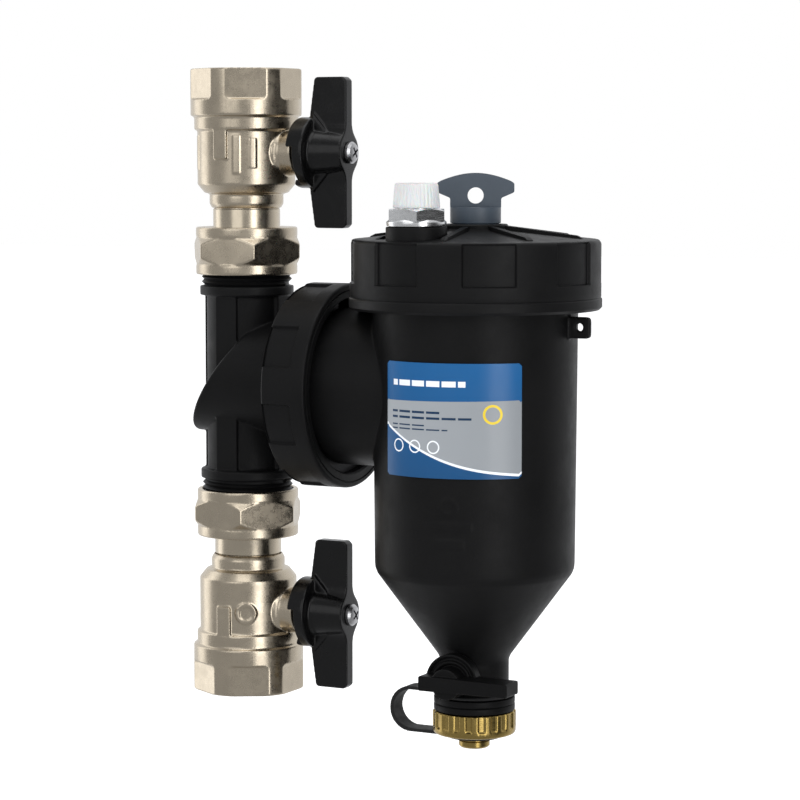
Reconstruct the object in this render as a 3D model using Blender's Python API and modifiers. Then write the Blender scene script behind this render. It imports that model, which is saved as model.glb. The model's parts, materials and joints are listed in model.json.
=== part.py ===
"""Magnetic system filter: two union ball valves, a tee, a swivelling filter canister and its drain.

Frame: metres, +Z up. The origin is the centre of the lower valve's end face. The pipe runs up
along +Z, the canister hangs off it towards +X, and the -Y side is the front.
Heights named below are measured from the nozzle axis, which crosses the pipe at NOZZLE_Z.
"""

import math

import bmesh
import bpy

MM = 0.001
GAP = 0.3 * MM              # clearance left between pieces that touch

# ---- driving dimensions -------------------------------------------------------------------
NOZZLE_Z = 144.5 * MM       # height of the nozzle axis over the lower end face
CANISTER_X = 118.0 * MM     # distance from the pipe axis to the canister axis
STEM_H = 106.0 * MM         # distance of each valve stem from the nozzle axis

# ball valve, measured outwards from the nozzle axis
END_H = 144.5 * MM
SOCKET_R = 25.65 * MM
SOCKET_FLATS = 47.5 * MM
SOCKET_LOW_H = 123.0 * MM
FLATS_LOW_H = 130.4 * MM    # the wrench flats end here, above the round band
SOCKET_BORE_R = 19.5 * MM   # minor radius of the G 1 1/4 female thread
SOCKET_FLOOR_H = 125.5 * MM
COLLAR_R = 24.0 * MM
COLLAR_LOW_H = 116.5 * MM
HOUSING_R = 22.6 * MM
HOUSING_LOW_H = 91.5 * MM
CONE_END_R = 19.0 * MM
CONE_END_H = 88.0 * MM
GROOVE_R = 16.6 * MM
BEAD_TOP_H = 86.5 * MM
CAVITY_R = 19.0 * MM
CAVITY_LOW_H = 96.0 * MM
SEAT_WELL_R = 17.8 * MM
SEAT_WELL_H = 88.9 * MM
TAIL_SHOULDER_H = 87.3 * MM
BALL_R = 18.5 * MM
PORT_R = 12.5 * MM
BEAD_R = 17.1 * MM
BEAD_LOW_H = 80.5 * MM
NECK_R = 15.5 * MM
BONNET_R = 10.4 * MM
BONNET_X = 29.0 * MM
STEM_R = 4.0 * MM
GLAND_R = 6.2 * MM

# union: tail flange and nut
FLANGE_R = 20.5 * MM
FLANGE_TOP_H = 64.7 * MM
FLANGE_LOW_H = 61.0 * MM
NUT_TOP_H = 71.8 * MM
NUT_LOW_H = 49.9 * MM
NUT_FLATS = 46.0 * MM
NUT_RIM_R = 23.5 * MM
NUT_RIM_H = 4.8 * MM

# valve handle
HANDLE_BACK_X = 29.4 * MM
HANDLE_SKIRT_R = 16.2 * MM
HANDLE_SKIRT_X = 38.0 * MM
HANDLE_FRONT_X = 54.2 * MM
HANDLE_HALF_LENGTH = 34.3 * MM
HANDLE_THICKNESS = 6.0 * MM

# tee
THREAD_R = 20.95 * MM       # G 1 1/4 male thread, 41.9 mm over its crests
THREAD_TOP_H = 58.4 * MM
TEE_COLLAR_R = 21.7 * MM
TEE_COLLAR_TOP_H = 44.7 * MM
TEE_COLLAR_LOW_H = 40.5 * MM
TEE_TUBE_R = 18.6 * MM
TEE_RIB_R = 19.6 * MM
TEE_RIB_WIDTH = 11.0 * MM
TEE_BORE_R = 13.5 * MM
HOOD_R = 26.5 * MM
HOOD_H = 2.75 * MM
HOOD_SLOPE = 1.4            # rise over run of the hood's slanted end
HOOD_SLOPE_H = 10.5 * MM    # height of the slanted end over the pipe axis
CHAMBER_R = 15.5 * MM

# ring nut and canister nozzle, measured along +X from the pipe axis
RING_LEFT_X = 34.0 * MM
RING_RIGHT_X = 56.0 * MM
RING_R = 46.75 * MM
RING_BORE_R = 42.5 * MM
RING_LIP_R = 40.0 * MM
RING_LIP_X = 52.3 * MM
RING_RECESS_X = 48.6 * MM
NOZZLE_R = 36.0 * MM
NOZZLE_BORE_R = 28.0 * MM
SPIGOT_R = 33.7 * MM
SPIGOT_X = 38.3 * MM
SHOULDER_X = 46.0 * MM

# canister, radii from its own axis
CANISTER_TOP_R = 45.8 * MM
CANISTER_LOW_R = 44.8 * MM
CANISTER_BORE_R = 42.2 * MM
CANISTER_THREAD_R = 50.0 * MM
CANISTER_TOP_H = 60.0 * MM
CONE_TOP_H = -80.4 * MM
CONE_LOW_H = -119.7 * MM
OUTLET_NECK_R = 15.5 * MM
DRAIN_BORE_R = 9.5 * MM
DRAIN_H = -128.0 * MM
DRAIN_BALL_R = 8.0 * MM
DRAIN_STEM_R = 3.2 * MM
NECK_LOW_H = -141.0 * MM

# lid, vent and magnet key
LID_R = 56.0 * MM
LID_BAND_R = 56.4 * MM
LID_LOW_H = 36.7 * MM
LID_BAND_H = 41.6 * MM
LID_TOP_H = 67.8 * MM
LID_CEILING_H = 62.0 * MM
LID_BOSS_R = 14.5 * MM
LID_BOSS_H = 74.5 * MM
GRIP_COUNT = 8
GRIP_SPAN = math.radians(24.0)
LID_GRIP_ANGLE = math.radians(-57.9)
RING_GRIP_ANGLE = math.radians(25.8)
VENT_RADIUS = 39.5 * MM
VENT_ANGLE = math.radians(-104.5)
VENT_BOSS_R = 13.4 * MM
VENT_BOSS_H = 74.0 * MM
SLEEVE_R = 12.0 * MM
SLEEVE_BORE_R = 10.8 * MM
SLEEVE_LOW_H = -75.0 * MM
KEY_ANGLE = math.radians(27.5)
KEY_R = 11.3 * MM

# ---- finishes: colour, metallic, roughness ------------------------------------------------
FINISHES = {
    "nickel_brass": ((0.62, 0.57, 0.49), 1.0, 0.25),
    "raw_brass": ((0.62, 0.50, 0.25), 1.0, 0.32),
    "steel": ((0.60, 0.60, 0.61), 1.0, 0.28),
    "chrome": ((0.80, 0.80, 0.82), 1.0, 0.08),
    "magnet_steel": ((0.42, 0.42, 0.44), 1.0, 0.35),
    "black_nylon": ((0.03, 0.03, 0.032), 0.0, 0.45),
    "satin_black": ((0.02, 0.02, 0.021), 0.0, 0.32),
    "black_rubber": ((0.025, 0.025, 0.026), 0.0, 0.65),
    "seal_white": ((0.82, 0.82, 0.80), 0.0, 0.50),
    "clear_white": ((0.85, 0.86, 0.86), 0.0, 0.30),
    "key_grey": ((0.085, 0.105, 0.13), 0.0, 0.42),
    "label_blue": ((0.02, 0.10, 0.32), 0.0, 0.35),
}

AXIS_TURN = {
    "Z": (0.0, 0.0, 0.0),
    "X": (0.0, math.pi / 2, 0.0),
    "-Y": (math.pi / 2, 0.0, 0.0),
}
OUTLINE_TURN = {
    "XY": (0.0, 0.0, 0.0),
    "XZ": (math.pi / 2, 0.0, 0.0),
    "YZ": (math.pi / 2, 0.0, math.pi / 2),
}


# ---- scene helpers ------------------------------------------------------------------------
def clear_scene():
    """Remove every object that the file starts with."""
    for obj in list(bpy.data.objects):
        bpy.data.objects.remove(obj, do_unlink=True)


def new_collection(name):
    """Add a collection under the scene's own."""
    group = bpy.data.collections.new(name)
    bpy.context.scene.collection.children.link(group)
    return group


clear_scene()
PARTS = new_collection("magnetic_system_filter")
CUTTERS = new_collection("cutters")


def finish(name):
    """Return the named finish as a material, made once."""
    found = bpy.data.materials.get(name)
    if found:
        return found
    colour, metallic, roughness = FINISHES[name]
    material = bpy.data.materials.new(name)
    material.use_nodes = True
    shader = material.node_tree.nodes["Principled BSDF"]
    shader.inputs["Base Color"].default_value = (*colour, 1.0)
    shader.inputs["Metallic"].default_value = metallic
    shader.inputs["Roughness"].default_value = roughness
    material.diffuse_color = (*colour, 1.0)
    return material


def pivot(name, at, turn=(0.0, 0.0, 0.0)):
    """Add the empty that stands on a body's joint axis."""
    empty = bpy.data.objects.new(name, None)
    empty.location = at
    empty.rotation_euler = turn
    empty.empty_display_size = 10 * MM
    PARTS.objects.link(empty)
    return empty


def place(name, mesh, parent, material, at, turn):
    """Put a mesh under its pivot, as a part or, with no material, as a cutter."""
    obj = bpy.data.objects.new(name, mesh)
    obj.location = at
    obj.rotation_euler = turn
    obj.parent = parent
    if material:
        obj.data.materials.append(finish(material))
        PARTS.objects.link(obj)
    else:
        obj.hide_render = True
        obj.display_type = "WIRE"
        CUTTERS.objects.link(obj)
    return obj


def turned(name, outline, parent, material=None, axis="Z", at=(0, 0, 0), steps=24, spin=0.0):
    """Turn an outline of (radius, height) about an axis. The outer side runs top to bottom.

    An outline that starts and ends at radius 0 is a solid; any other is closed into a ring.
    """
    mesh = bpy.data.meshes.new(name)
    points = [(radius * math.cos(spin), radius * math.sin(spin), height) for radius, height in outline]
    edges = [(i, i + 1) for i in range(len(points) - 1)]
    if outline[0][0] > 0 or outline[-1][0] > 0:
        edges.append((len(points) - 1, 0))
    mesh.from_pydata(points, edges, [])
    obj = place(name, mesh, parent, material, at, AXIS_TURN[axis])
    screw = obj.modifiers.new("turn", "SCREW")
    screw.axis = "Z"
    screw.angle = 2 * math.pi
    screw.steps = steps
    screw.render_steps = steps
    screw.use_merge_vertices = True
    screw.merge_threshold = 0.00001
    screw.use_smooth_shade = False
    return obj


def box(name, low, high, parent, material=None, turn=(0, 0, 0), at=(0, 0, 0)):
    """A box from its low corner to its high corner."""
    bm = bmesh.new()
    bmesh.ops.create_cube(bm, size=1.0)
    for vertex in bm.verts:
        for k in range(3):
            vertex.co[k] = low[k] + (vertex.co[k] + 0.5) * (high[k] - low[k])
    mesh = bpy.data.meshes.new(name)
    bm.to_mesh(mesh)
    bm.free()
    return place(name, mesh, parent, material, at, turn)


def prism(name, outline, depth, parent, material=None, plane="XY", at=(0, 0, 0), spin=0.0):
    """A flat outline given half its depth to each side of its plane, at a place."""
    curve = bpy.data.curves.new(name, "CURVE")
    curve.dimensions = "2D"
    curve.fill_mode = "BOTH"
    curve.extrude = depth / 2
    spline = curve.splines.new("POLY")
    spline.points.add(len(outline) - 1)
    for point, (u, v) in zip(spline.points, outline):
        point.co = (u, v, 0.0, 1.0)
    spline.use_cyclic_u = True
    guide = bpy.data.objects.new(name + "_outline", curve)
    bpy.context.scene.collection.objects.link(guide)
    bpy.context.view_layer.update()
    mesh = bpy.data.meshes.new_from_object(guide.evaluated_get(bpy.context.evaluated_depsgraph_get()))
    bpy.data.objects.remove(guide, do_unlink=True)
    bm = bmesh.new()
    bm.from_mesh(mesh)
    bmesh.ops.remove_doubles(bm, verts=bm.verts, dist=0.000001)
    bmesh.ops.recalc_face_normals(bm, faces=bm.faces)
    bm.to_mesh(mesh)
    bm.free()
    mesh.name = name
    turn = list(OUTLINE_TURN[plane])
    turn[2] += spin
    return place(name, mesh, parent, material, at, turn)


def sector(radius_in, radius_out, middle, span, count=4):
    """Outline of a slice of a ring, by its middle angle and its span."""
    angles = [middle - span / 2 + span * i / count for i in range(count + 1)]
    outer = [(radius_out * math.cos(a), radius_out * math.sin(a)) for a in angles]
    inner = [(radius_in * math.cos(a), radius_in * math.sin(a)) for a in reversed(angles)]
    return outer + inner


def arc(middle, radius, start, stop, count):
    """Points along an arc in degrees, in the outline's own plane."""
    turns = [math.radians(start + (stop - start) * i / count) for i in range(count + 1)]
    return [(middle[0] + radius * math.cos(a), middle[1] + radius * math.sin(a)) for a in turns]


def ball(name, radius, parent, material):
    """A sphere about its pivot, with its poles along Z."""
    bm = bmesh.new()
    bmesh.ops.create_uvsphere(bm, u_segments=16, v_segments=9, radius=radius)
    mesh = bpy.data.meshes.new(name)
    bm.to_mesh(mesh)
    bm.free()
    return place(name, mesh, parent, material, (0, 0, 0), (0, 0, 0))


def boolean(obj, tool, operation):
    """Add one exact Boolean to the object."""
    modifier = obj.modifiers.new(operation.lower(), "BOOLEAN")
    modifier.solver = "EXACT"
    modifier.operation = operation
    modifier.object = tool


def cut(obj, *tools):
    """Take each tool away from the object."""
    for tool in tools:
        boolean(obj, tool, "DIFFERENCE")
    return obj


def join(obj, *tools):
    """Fuse each tool to the object."""
    for tool in tools:
        boolean(obj, tool, "UNION")
    return obj


def ring(name, bore, radius, low, high, parent, material=None, axis="Z", at=(0, 0, 0), steps=24):
    """A plain ring of rectangular section."""
    outline = [(bore, high), (radius, high), (radius, low), (bore, low)]
    return turned(name, outline, parent, material, axis, at, steps)


def rod(name, radius, low, high, parent, material=None, axis="Z", at=(0, 0, 0), steps=24):
    """A plain round bar."""
    outline = [(0, high), (radius, high), (radius, low), (0, low)]
    return turned(name, outline, parent, material, axis, at, steps)


def stepped_hole(name, hole_r, well_r, inner, step, parent, axis, at):
    """Cutter for a stem hole that widens into a seal well, from its inner end outwards."""
    outer = step + 20 * MM
    outline = [(0, outer), (well_r, outer), (well_r, step), (hole_r, step), (hole_r, inner), (0, inner)]
    return turned(name, outline, parent, axis=axis, at=at, steps=16)


def o_ring(name, middle_r, cord_r, height, parent, axis="Z", at=(0, 0, 0), steps=20, sides=4):
    """A seal of round cord."""
    outline = [
        (middle_r + cord_r * math.sin(turn), height + cord_r * math.cos(turn))
        for turn in (2 * math.pi * (i + 0.5) / sides for i in range(sides))
    ]
    return turned(name, outline, parent, "black_rubber", axis, at, steps)


# ---- ball valves --------------------------------------------------------------------------
def seat_outline(ball_r, bore, radius, back):
    """Section of a ball seat: flat behind, hollowed to the ball in front."""
    clear = ball_r + 0.9 * MM
    lip = radius - 1.8 * MM
    face = [(r, math.sqrt(clear * clear - r * r)) for r in (lip, bore)]
    return [(bore, back), (radius, back), (radius, face[0][1])] + face


def ball_seats(prefix, ends, ball_r, bore, radius, back, parent):
    """The two seats that hold a ball, named by the ends that they face."""
    outline = seat_outline(ball_r, bore, radius, back)
    for end, turn in zip(ends, (0, math.pi)):
        seat = turned(prefix + "_" + end + "_seat", outline, parent, "seal_white", steps=16)
        seat.rotation_euler = (turn, 0, 0)


def valve_body(side, valve):
    """Housing with its hexagon end, stem bonnet and through bore."""
    outline = [
        (SOCKET_BORE_R, END_H), (SOCKET_R, END_H), (SOCKET_R, SOCKET_LOW_H),
        (COLLAR_R, SOCKET_LOW_H), (COLLAR_R, COLLAR_LOW_H), (HOUSING_R, COLLAR_LOW_H),
        (HOUSING_R, HOUSING_LOW_H), (CONE_END_R, CONE_END_H), (GROOVE_R, CONE_END_H),
        (GROOVE_R, BEAD_TOP_H), (BEAD_R, BEAD_TOP_H), (BEAD_R, BEAD_LOW_H),
        (NECK_R, BEAD_LOW_H), (NECK_R, TAIL_SHOULDER_H), (PORT_R, TAIL_SHOULDER_H),
        (PORT_R, SEAT_WELL_H), (SEAT_WELL_R, SEAT_WELL_H), (SEAT_WELL_R, CAVITY_LOW_H),
        (CAVITY_R, CAVITY_LOW_H), (CAVITY_R, SOCKET_FLOOR_H), (SOCKET_BORE_R, SOCKET_FLOOR_H),
    ]
    body = turned(side + "_valve_body", outline, valve, "nickel_brass", spin=math.pi / 24)
    corner_r = SOCKET_FLATS / 2 / math.cos(math.pi / 6)
    hexagon = [
        (corner_r, END_H + 5 * MM), (corner_r + 8 * MM, END_H + 5 * MM),
        (corner_r + 8 * MM, FLATS_LOW_H), (corner_r, FLATS_LOW_H),
    ]
    at_stem = (0, 0, STEM_H)
    flats = turned(side + "_socket_flats", hexagon, valve, steps=6, spin=math.pi / 6)
    bonnet = rod(side + "_bonnet", BONNET_R, 20.5 * MM, BONNET_X, valve, axis="X", at=at_stem)
    hole = stepped_hole(side + "_stem_hole", STEM_R + GAP, GLAND_R + GAP, 15 * MM, 22 * MM, valve,
                        "X", at_stem)
    cut(join(cut(body, flats), bonnet), hole)


def tailpiece(side, valve):
    """Union tail: screwed into the housing, flanged inside the nut."""
    end_h = TAIL_SHOULDER_H - GAP
    outline = [
        (PORT_R, end_h), (NECK_R - GAP, end_h), (NECK_R - GAP, BEAD_LOW_H - GAP),
        (NECK_R, BEAD_LOW_H - GAP), (NECK_R, FLANGE_TOP_H), (FLANGE_R, FLANGE_TOP_H),
        (FLANGE_R, FLANGE_LOW_H), (PORT_R, FLANGE_LOW_H),
    ]
    turned(side + "_tailpiece", outline, valve, "nickel_brass")


def union_nut(side, nut):
    """Hexagon union nut with a round rim at each end."""
    wall_r = 22.5 * MM
    hex_top = NUT_TOP_H - NUT_RIM_H
    hex_low = NUT_LOW_H + NUT_RIM_H
    bore = NECK_R + 0.4 * MM
    outline = [
        (bore, NUT_TOP_H), (NUT_RIM_R, NUT_TOP_H), (NUT_RIM_R, hex_top), (wall_r, hex_top),
        (wall_r, hex_low), (NUT_RIM_R, hex_low), (NUT_RIM_R, NUT_LOW_H),
        (THREAD_R + GAP, NUT_LOW_H), (THREAD_R + GAP, FLANGE_TOP_H + GAP), (bore, FLANGE_TOP_H + GAP),
    ]
    corner_r = NUT_FLATS / 2 / math.cos(math.pi / 6)
    bite = 0.2 * MM
    body = turned(side + "_union_nut", outline, nut, "nickel_brass")
    crown = rod(side + "_nut_hexagon", corner_r, hex_low - bite, hex_top + bite, nut, steps=6)
    crown.rotation_euler = (0, 0, math.radians(7.5))
    eye = rod(side + "_nut_eye", wall_r - 0.7 * MM, hex_low - MM, hex_top + MM, nut)
    join(body, cut(crown, eye))


def stem_set(side, handle):
    """Ball, stem, handle and screw, all about the stem axis. The port lies along the pipe."""
    sphere = ball(side + "_ball", BALL_R, handle, "chrome")
    port = rod(side + "_port", PORT_R, -25 * MM, 25 * MM, handle, steps=20)
    slot = box(side + "_slot", (15.2 * MM, -2.5 * MM, -5 * MM), (20 * MM, 2.5 * MM, 5 * MM), handle)
    cut(sphere, port, slot)

    hole_r = 2.3 * MM
    stem_outline = [
        (0, 43.5 * MM), (hole_r, 43.5 * MM), (hole_r, 51.2 * MM), (STEM_R, 51.2 * MM),
        (STEM_R, 18.9 * MM), (0, 18.9 * MM),
    ]
    stem = turned(side + "_stem", stem_outline, handle, "steel", axis="X", steps=12)
    tang = box(side + "_tang", (15.6 * MM, -2.2 * MM, -3.3 * MM), (19.4 * MM, 2.2 * MM, 3.3 * MM), handle)
    join(stem, tang)

    lever_outline = [
        (hole_r, HANDLE_FRONT_X), (9.4 * MM, HANDLE_FRONT_X), (11.0 * MM, HANDLE_SKIRT_X),
        (HANDLE_SKIRT_R, HANDLE_SKIRT_X), (HANDLE_SKIRT_R, HANDLE_BACK_X),
        (13.5 * MM, HANDLE_BACK_X), (13.5 * MM, 35.5 * MM), (STEM_R + GAP, 35.5 * MM),
        (STEM_R + GAP, 51.5 * MM), (hole_r, 51.5 * MM),
    ]
    lever = turned(side + "_handle", lever_outline, handle, "satin_black", axis="X", steps=20)
    root = 5.5 * MM
    for sign, label in ((1, "up"), (-1, "down")):
        wing_outline = [
            (35.6 * MM, sign * root), (HANDLE_FRONT_X - GAP, sign * root),
            (HANDLE_FRONT_X - GAP, sign * (HANDLE_HALF_LENGTH - 1.5 * MM)),
            (HANDLE_FRONT_X - 1.8 * MM, sign * HANDLE_HALF_LENGTH),
            (38.8 * MM, sign * HANDLE_HALF_LENGTH), (37.8 * MM, sign * (HANDLE_HALF_LENGTH - MM)),
            (35.3 * MM, sign * 17 * MM),
        ]
        join(lever, prism(side + "_wing_" + label, wing_outline, HANDLE_THICKNESS, handle, plane="XZ"))
    for quarter in (0, 1):
        middle = math.radians(153 + 180 * quarter)
        notch = prism(
            side + "_notch_" + str(quarter), sector(12.5 * MM, 18 * MM, middle, math.radians(75), 3),
            10 * MM, handle, plane="YZ", at=(28.0 * MM, 0, 0))
        cut(lever, notch)

    screw_outline = [
        (0, 57.5 * MM), (3.2 * MM, 57.2 * MM), (5.0 * MM, 56.0 * MM), (5.0 * MM, HANDLE_FRONT_X + GAP),
        (2.0 * MM, HANDLE_FRONT_X + GAP), (2.0 * MM, 44.0 * MM), (0, 44.0 * MM),
    ]
    turned(side + "_handle_screw", screw_outline, handle, "steel", axis="X", steps=16)


def ball_valve(side, turn):
    """One valve with its union, built outwards from the nozzle axis."""
    valve = pivot(side + "_valve_pivot", (0, 0, NOZZLE_Z), (turn, 0, 0))
    nut = pivot(side + "_nut_pivot", (0, 0, NOZZLE_Z), (turn, 0, 0))
    reach = STEM_H if turn == 0 else -STEM_H
    handle = pivot(side + "_handle_pivot", (0, 0, NOZZLE_Z + reach), (turn, 0, 0))

    valve_body(side, valve)
    tailpiece(side, valve)
    centre = pivot(side + "_seat_centre", (0, 0, NOZZLE_Z + reach), (turn, 0, 0))
    ball_seats(side, ("outer", "inner"), BALL_R, PORT_R + GAP, 17.5 * MM, 16.8 * MM, centre)
    ring(side + "_seat_retainer", PORT_R + GAP, CAVITY_R - GAP, 123.1 * MM, 125.2 * MM, valve,
         "nickel_brass", steps=20)
    at_stem = (0, 0, STEM_H)
    ring(side + "_stem_packing", STEM_R + GAP, GLAND_R, 22.3 * MM, 25.4 * MM, valve,
         "seal_white", axis="X", at=at_stem, steps=16)
    ring(side + "_gland", STEM_R + GAP, GLAND_R, 25.7 * MM, 28.7 * MM, valve,
         "nickel_brass", axis="X", at=at_stem, steps=16)
    ring(side + "_gasket", PORT_R + GAP, 20.4 * MM, 58.8 * MM, 60.6 * MM, valve,
         "black_rubber", steps=20)
    stem_set(side, handle)
    union_nut(side, nut)


# ---- tee and ring nut ---------------------------------------------------------------------
def tee():
    """Threaded tee with its slanted hood, side collar and flow chamber."""
    centre = pivot("tee_pivot", (0, 0, NOZZLE_Z))
    half = [
        (TEE_BORE_R, THREAD_TOP_H), (THREAD_R, THREAD_TOP_H), (THREAD_R, TEE_COLLAR_TOP_H),
        (TEE_COLLAR_R, TEE_COLLAR_TOP_H), (TEE_COLLAR_R, TEE_COLLAR_LOW_H),
        (TEE_TUBE_R, TEE_COLLAR_LOW_H),
    ]
    outline = half + [(radius, -height) for radius, height in reversed(half)]
    outline[0] = (0, THREAD_TOP_H)
    outline[-1] = (0, -THREAD_TOP_H)
    body = turned("tee_body", outline, centre, "black_nylon", spin=math.pi / 24)
    rib_h = TEE_COLLAR_LOW_H + 0.2 * MM
    for k in range(4):
        low = (TEE_TUBE_R - 3 * MM, -TEE_RIB_WIDTH / 2, -rib_h)
        high = (TEE_RIB_R, TEE_RIB_WIDTH / 2, rib_h)
        join(body, box("tee_rib_" + str(k), low, high, centre, turn=(0, 0, k * math.pi / 2)))

    hood = rod("tee_hood", HOOD_R, -30 * MM, RING_LEFT_X + 2 * MM, centre, axis="X",
               at=(0, 0, HOOD_H), steps=24)
    left, right = -60 * MM, 40 * MM
    wedge_outline = [
        (left, HOOD_SLOPE * left + HOOD_SLOPE_H), (right, HOOD_SLOPE * right + HOOD_SLOPE_H),
        (left, HOOD_SLOPE * right + HOOD_SLOPE_H),
    ]
    cut(hood, prism("tee_wedge", wedge_outline, 80 * MM, centre, plane="XZ"))
    collar = rod("tee_side_collar", RING_BORE_R - GAP, RING_LEFT_X + GAP, SHOULDER_X - 0.6 * MM,
                 centre, axis="X", steps=24)
    join(body, hood, collar)

    bore = rod("tee_through_bore", TEE_BORE_R, -70 * MM, 70 * MM, centre, steps=16)
    chamber = rod("tee_chamber", CHAMBER_R, -6 * MM, 60 * MM, centre, axis="X", steps=16)
    socket = rod("tee_nozzle_socket", SPIGOT_R + GAP, SPIGOT_X - GAP, 60 * MM, centre, axis="X",
                 steps=24)
    cut(body, bore, chamber, socket)

    diverter(centre)


def diverter(centre):
    """Elbow that carries the cleaned water from the filter cage to the lower port."""
    outer_r, inner_r = 12.0 * MM, 10.5 * MM
    end_x = CANISTER_X - 24.6 * MM
    elbow = rod("flow_diverter", outer_r, -5 * MM, end_x, centre, "black_nylon", axis="X", steps=16)
    stub = rod("diverter_stub", outer_r, -34 * MM, 0, centre, steps=16)
    bore = rod("diverter_bore", inner_r, -3.4 * MM, end_x + 5 * MM, centre, axis="X", steps=16)
    down = rod("diverter_down", inner_r, -40 * MM, 0, centre, steps=16)
    cut(join(elbow, stub), bore, down)


def ring_nut():
    """Large gripped nut that pulls the nozzle into the tee."""
    centre = pivot("ring_nut_pivot", (0, 0, NOZZLE_Z))
    edge = 1.2 * MM
    outline = [
        (RING_LIP_R, RING_RIGHT_X), (RING_R - edge, RING_RIGHT_X), (RING_R, RING_RIGHT_X - edge),
        (RING_R, RING_LEFT_X + edge), (RING_R - edge, RING_LEFT_X), (RING_BORE_R, RING_LEFT_X),
        (RING_BORE_R, RING_LIP_X), (RING_LIP_R, RING_LIP_X),
    ]
    nut = turned("ring_nut", outline, centre, "black_nylon", axis="X", steps=32)
    depth = 20 * MM
    for k in range(GRIP_COUNT):
        middle = math.pi - RING_GRIP_ANGLE + 2 * math.pi * k / GRIP_COUNT
        slice_outline = sector(RING_R - 1.2 * MM, RING_R + 2 * MM, middle, GRIP_SPAN, 2)
        cut(nut, prism("ring_recess_" + str(k), slice_outline, depth, centre, plane="YZ",
                       at=(RING_RECESS_X - depth / 2, 0, 0)))


# ---- canister -----------------------------------------------------------------------------
def canister():
    """Canister shell with its nozzle, and everything that stays fixed to it."""
    centre = pivot("canister_pivot", (0, 0, NOZZLE_Z))
    axis = (CANISTER_X, 0, 0)
    outline = [
        (0, CANISTER_TOP_H), (CANISTER_THREAD_R, CANISTER_TOP_H), (CANISTER_THREAD_R, 40.0 * MM),
        (CANISTER_TOP_R, 38.0 * MM), (CANISTER_LOW_R, CONE_TOP_H + 2 * MM),
        (CANISTER_LOW_R - MM, CONE_TOP_H - MM), (OUTLET_NECK_R, CONE_LOW_H),
        (OUTLET_NECK_R, NECK_LOW_H), (0, NECK_LOW_H),
    ]
    shell = turned("canister_shell", outline, centre, "black_nylon", at=axis, steps=32)
    nozzle_outline = [
        (0, CANISTER_X - 12 * MM), (NOZZLE_R, CANISTER_X - 12 * MM), (NOZZLE_R, 52.3 * MM),
        (35.2 * MM, 52.3 * MM), (35.2 * MM, 49.7 * MM), (NOZZLE_R, 49.7 * MM),
        (NOZZLE_R, SHOULDER_X), (SPIGOT_R, SHOULDER_X), (SPIGOT_R, 43.8 * MM),
        (31.2 * MM, 43.8 * MM), (31.2 * MM, 40.6 * MM), (SPIGOT_R, 40.6 * MM),
        (SPIGOT_R, SPIGOT_X), (0, SPIGOT_X),
    ]
    nozzle = turned("canister_nozzle", nozzle_outline, centre, axis="X", steps=28)
    lug = box("seal_lug", (43 * MM, -1.5 * MM, 25 * MM), (56 * MM, 1.5 * MM, 34.5 * MM), centre, at=axis)
    boss = rod("drain_boss", 7 * MM, 5 * MM, 15.9 * MM, centre, axis="-Y", at=(CANISTER_X, 0, DRAIN_H))
    join(shell, nozzle, lug, boss)

    floor_h = -113.5 * MM
    cavity_outline = [
        (0, CANISTER_TOP_H + 5 * MM), (CANISTER_BORE_R, CANISTER_TOP_H + 5 * MM),
        (CANISTER_BORE_R, CONE_TOP_H + 2 * MM), (10.5 * MM, floor_h), (6.5 * MM, floor_h),
        (6.5 * MM, -116.8 * MM), (DRAIN_BORE_R, -116.8 * MM), (DRAIN_BORE_R, NECK_LOW_H - 5 * MM),
        (0, NECK_LOW_H - 5 * MM),
    ]
    cavity = turned("canister_cavity", cavity_outline, centre, at=axis, steps=24)
    bore = rod("nozzle_bore", NOZZLE_BORE_R, 30 * MM, CANISTER_X, centre, axis="X", steps=20)
    at_drain = (CANISTER_X, 0, DRAIN_H)
    hole = stepped_hole("drain_stem_hole", DRAIN_STEM_R + GAP, 5.5 * MM, 2 * MM, 12.5 * MM, centre,
                        "-Y", at_drain)
    eye = rod("lug_eye", 1.8 * MM, -5 * MM, 5 * MM, centre, axis="-Y", at=(CANISTER_X + 51 * MM, 0, 30 * MM),
              steps=12)
    cut(shell, cavity, bore, hole, eye)

    prism("snap_ring", sector(35.5 * MM, 41.5 * MM, -math.pi / 2, math.radians(340), 24),
          1.9 * MM, centre, "steel", plane="YZ", at=(51.0 * MM, 0, 0))
    o_ring("nozzle_o_ring", 32.6 * MM, 1.0 * MM, 42.2 * MM, centre, axis="X", steps=20)
    filter_cage(centre, axis)
    prism("label_plate", sector(46.0 * MM, 46.3 * MM, math.radians(-79), math.radians(81.5), 14),
          50 * MM, centre, "label_blue", at=(CANISTER_X, 0, -9.4 * MM))

    outlet_outline = [
        (6.0 * MM, -136.9 * MM), (9.2 * MM, -136.9 * MM), (9.2 * MM, -141.3 * MM),
        (15.8 * MM, -141.3 * MM), (15.8 * MM, -137.6 * MM), (18.3 * MM, -137.6 * MM),
        (18.3 * MM, -143.6 * MM), (15.5 * MM, -143.6 * MM), (15.5 * MM, -150.4 * MM),
        (6.0 * MM, -150.4 * MM),
    ]
    turned("drain_outlet", outlet_outline, centre, "black_nylon", at=axis, steps=20)
    drain = pivot("drain_seat_centre", (CANISTER_X, 0, NOZZLE_Z + DRAIN_H))
    ball_seats("drain", ("upper", "lower"), DRAIN_BALL_R, 5.3 * MM, 9.2 * MM, 8.6 * MM, drain)
    o_ring("drain_stem_o_ring", 4.4 * MM, 0.75 * MM, 14.2 * MM, centre, axis="-Y",
           at=at_drain, steps=16)
    strap(centre, axis)


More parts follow.
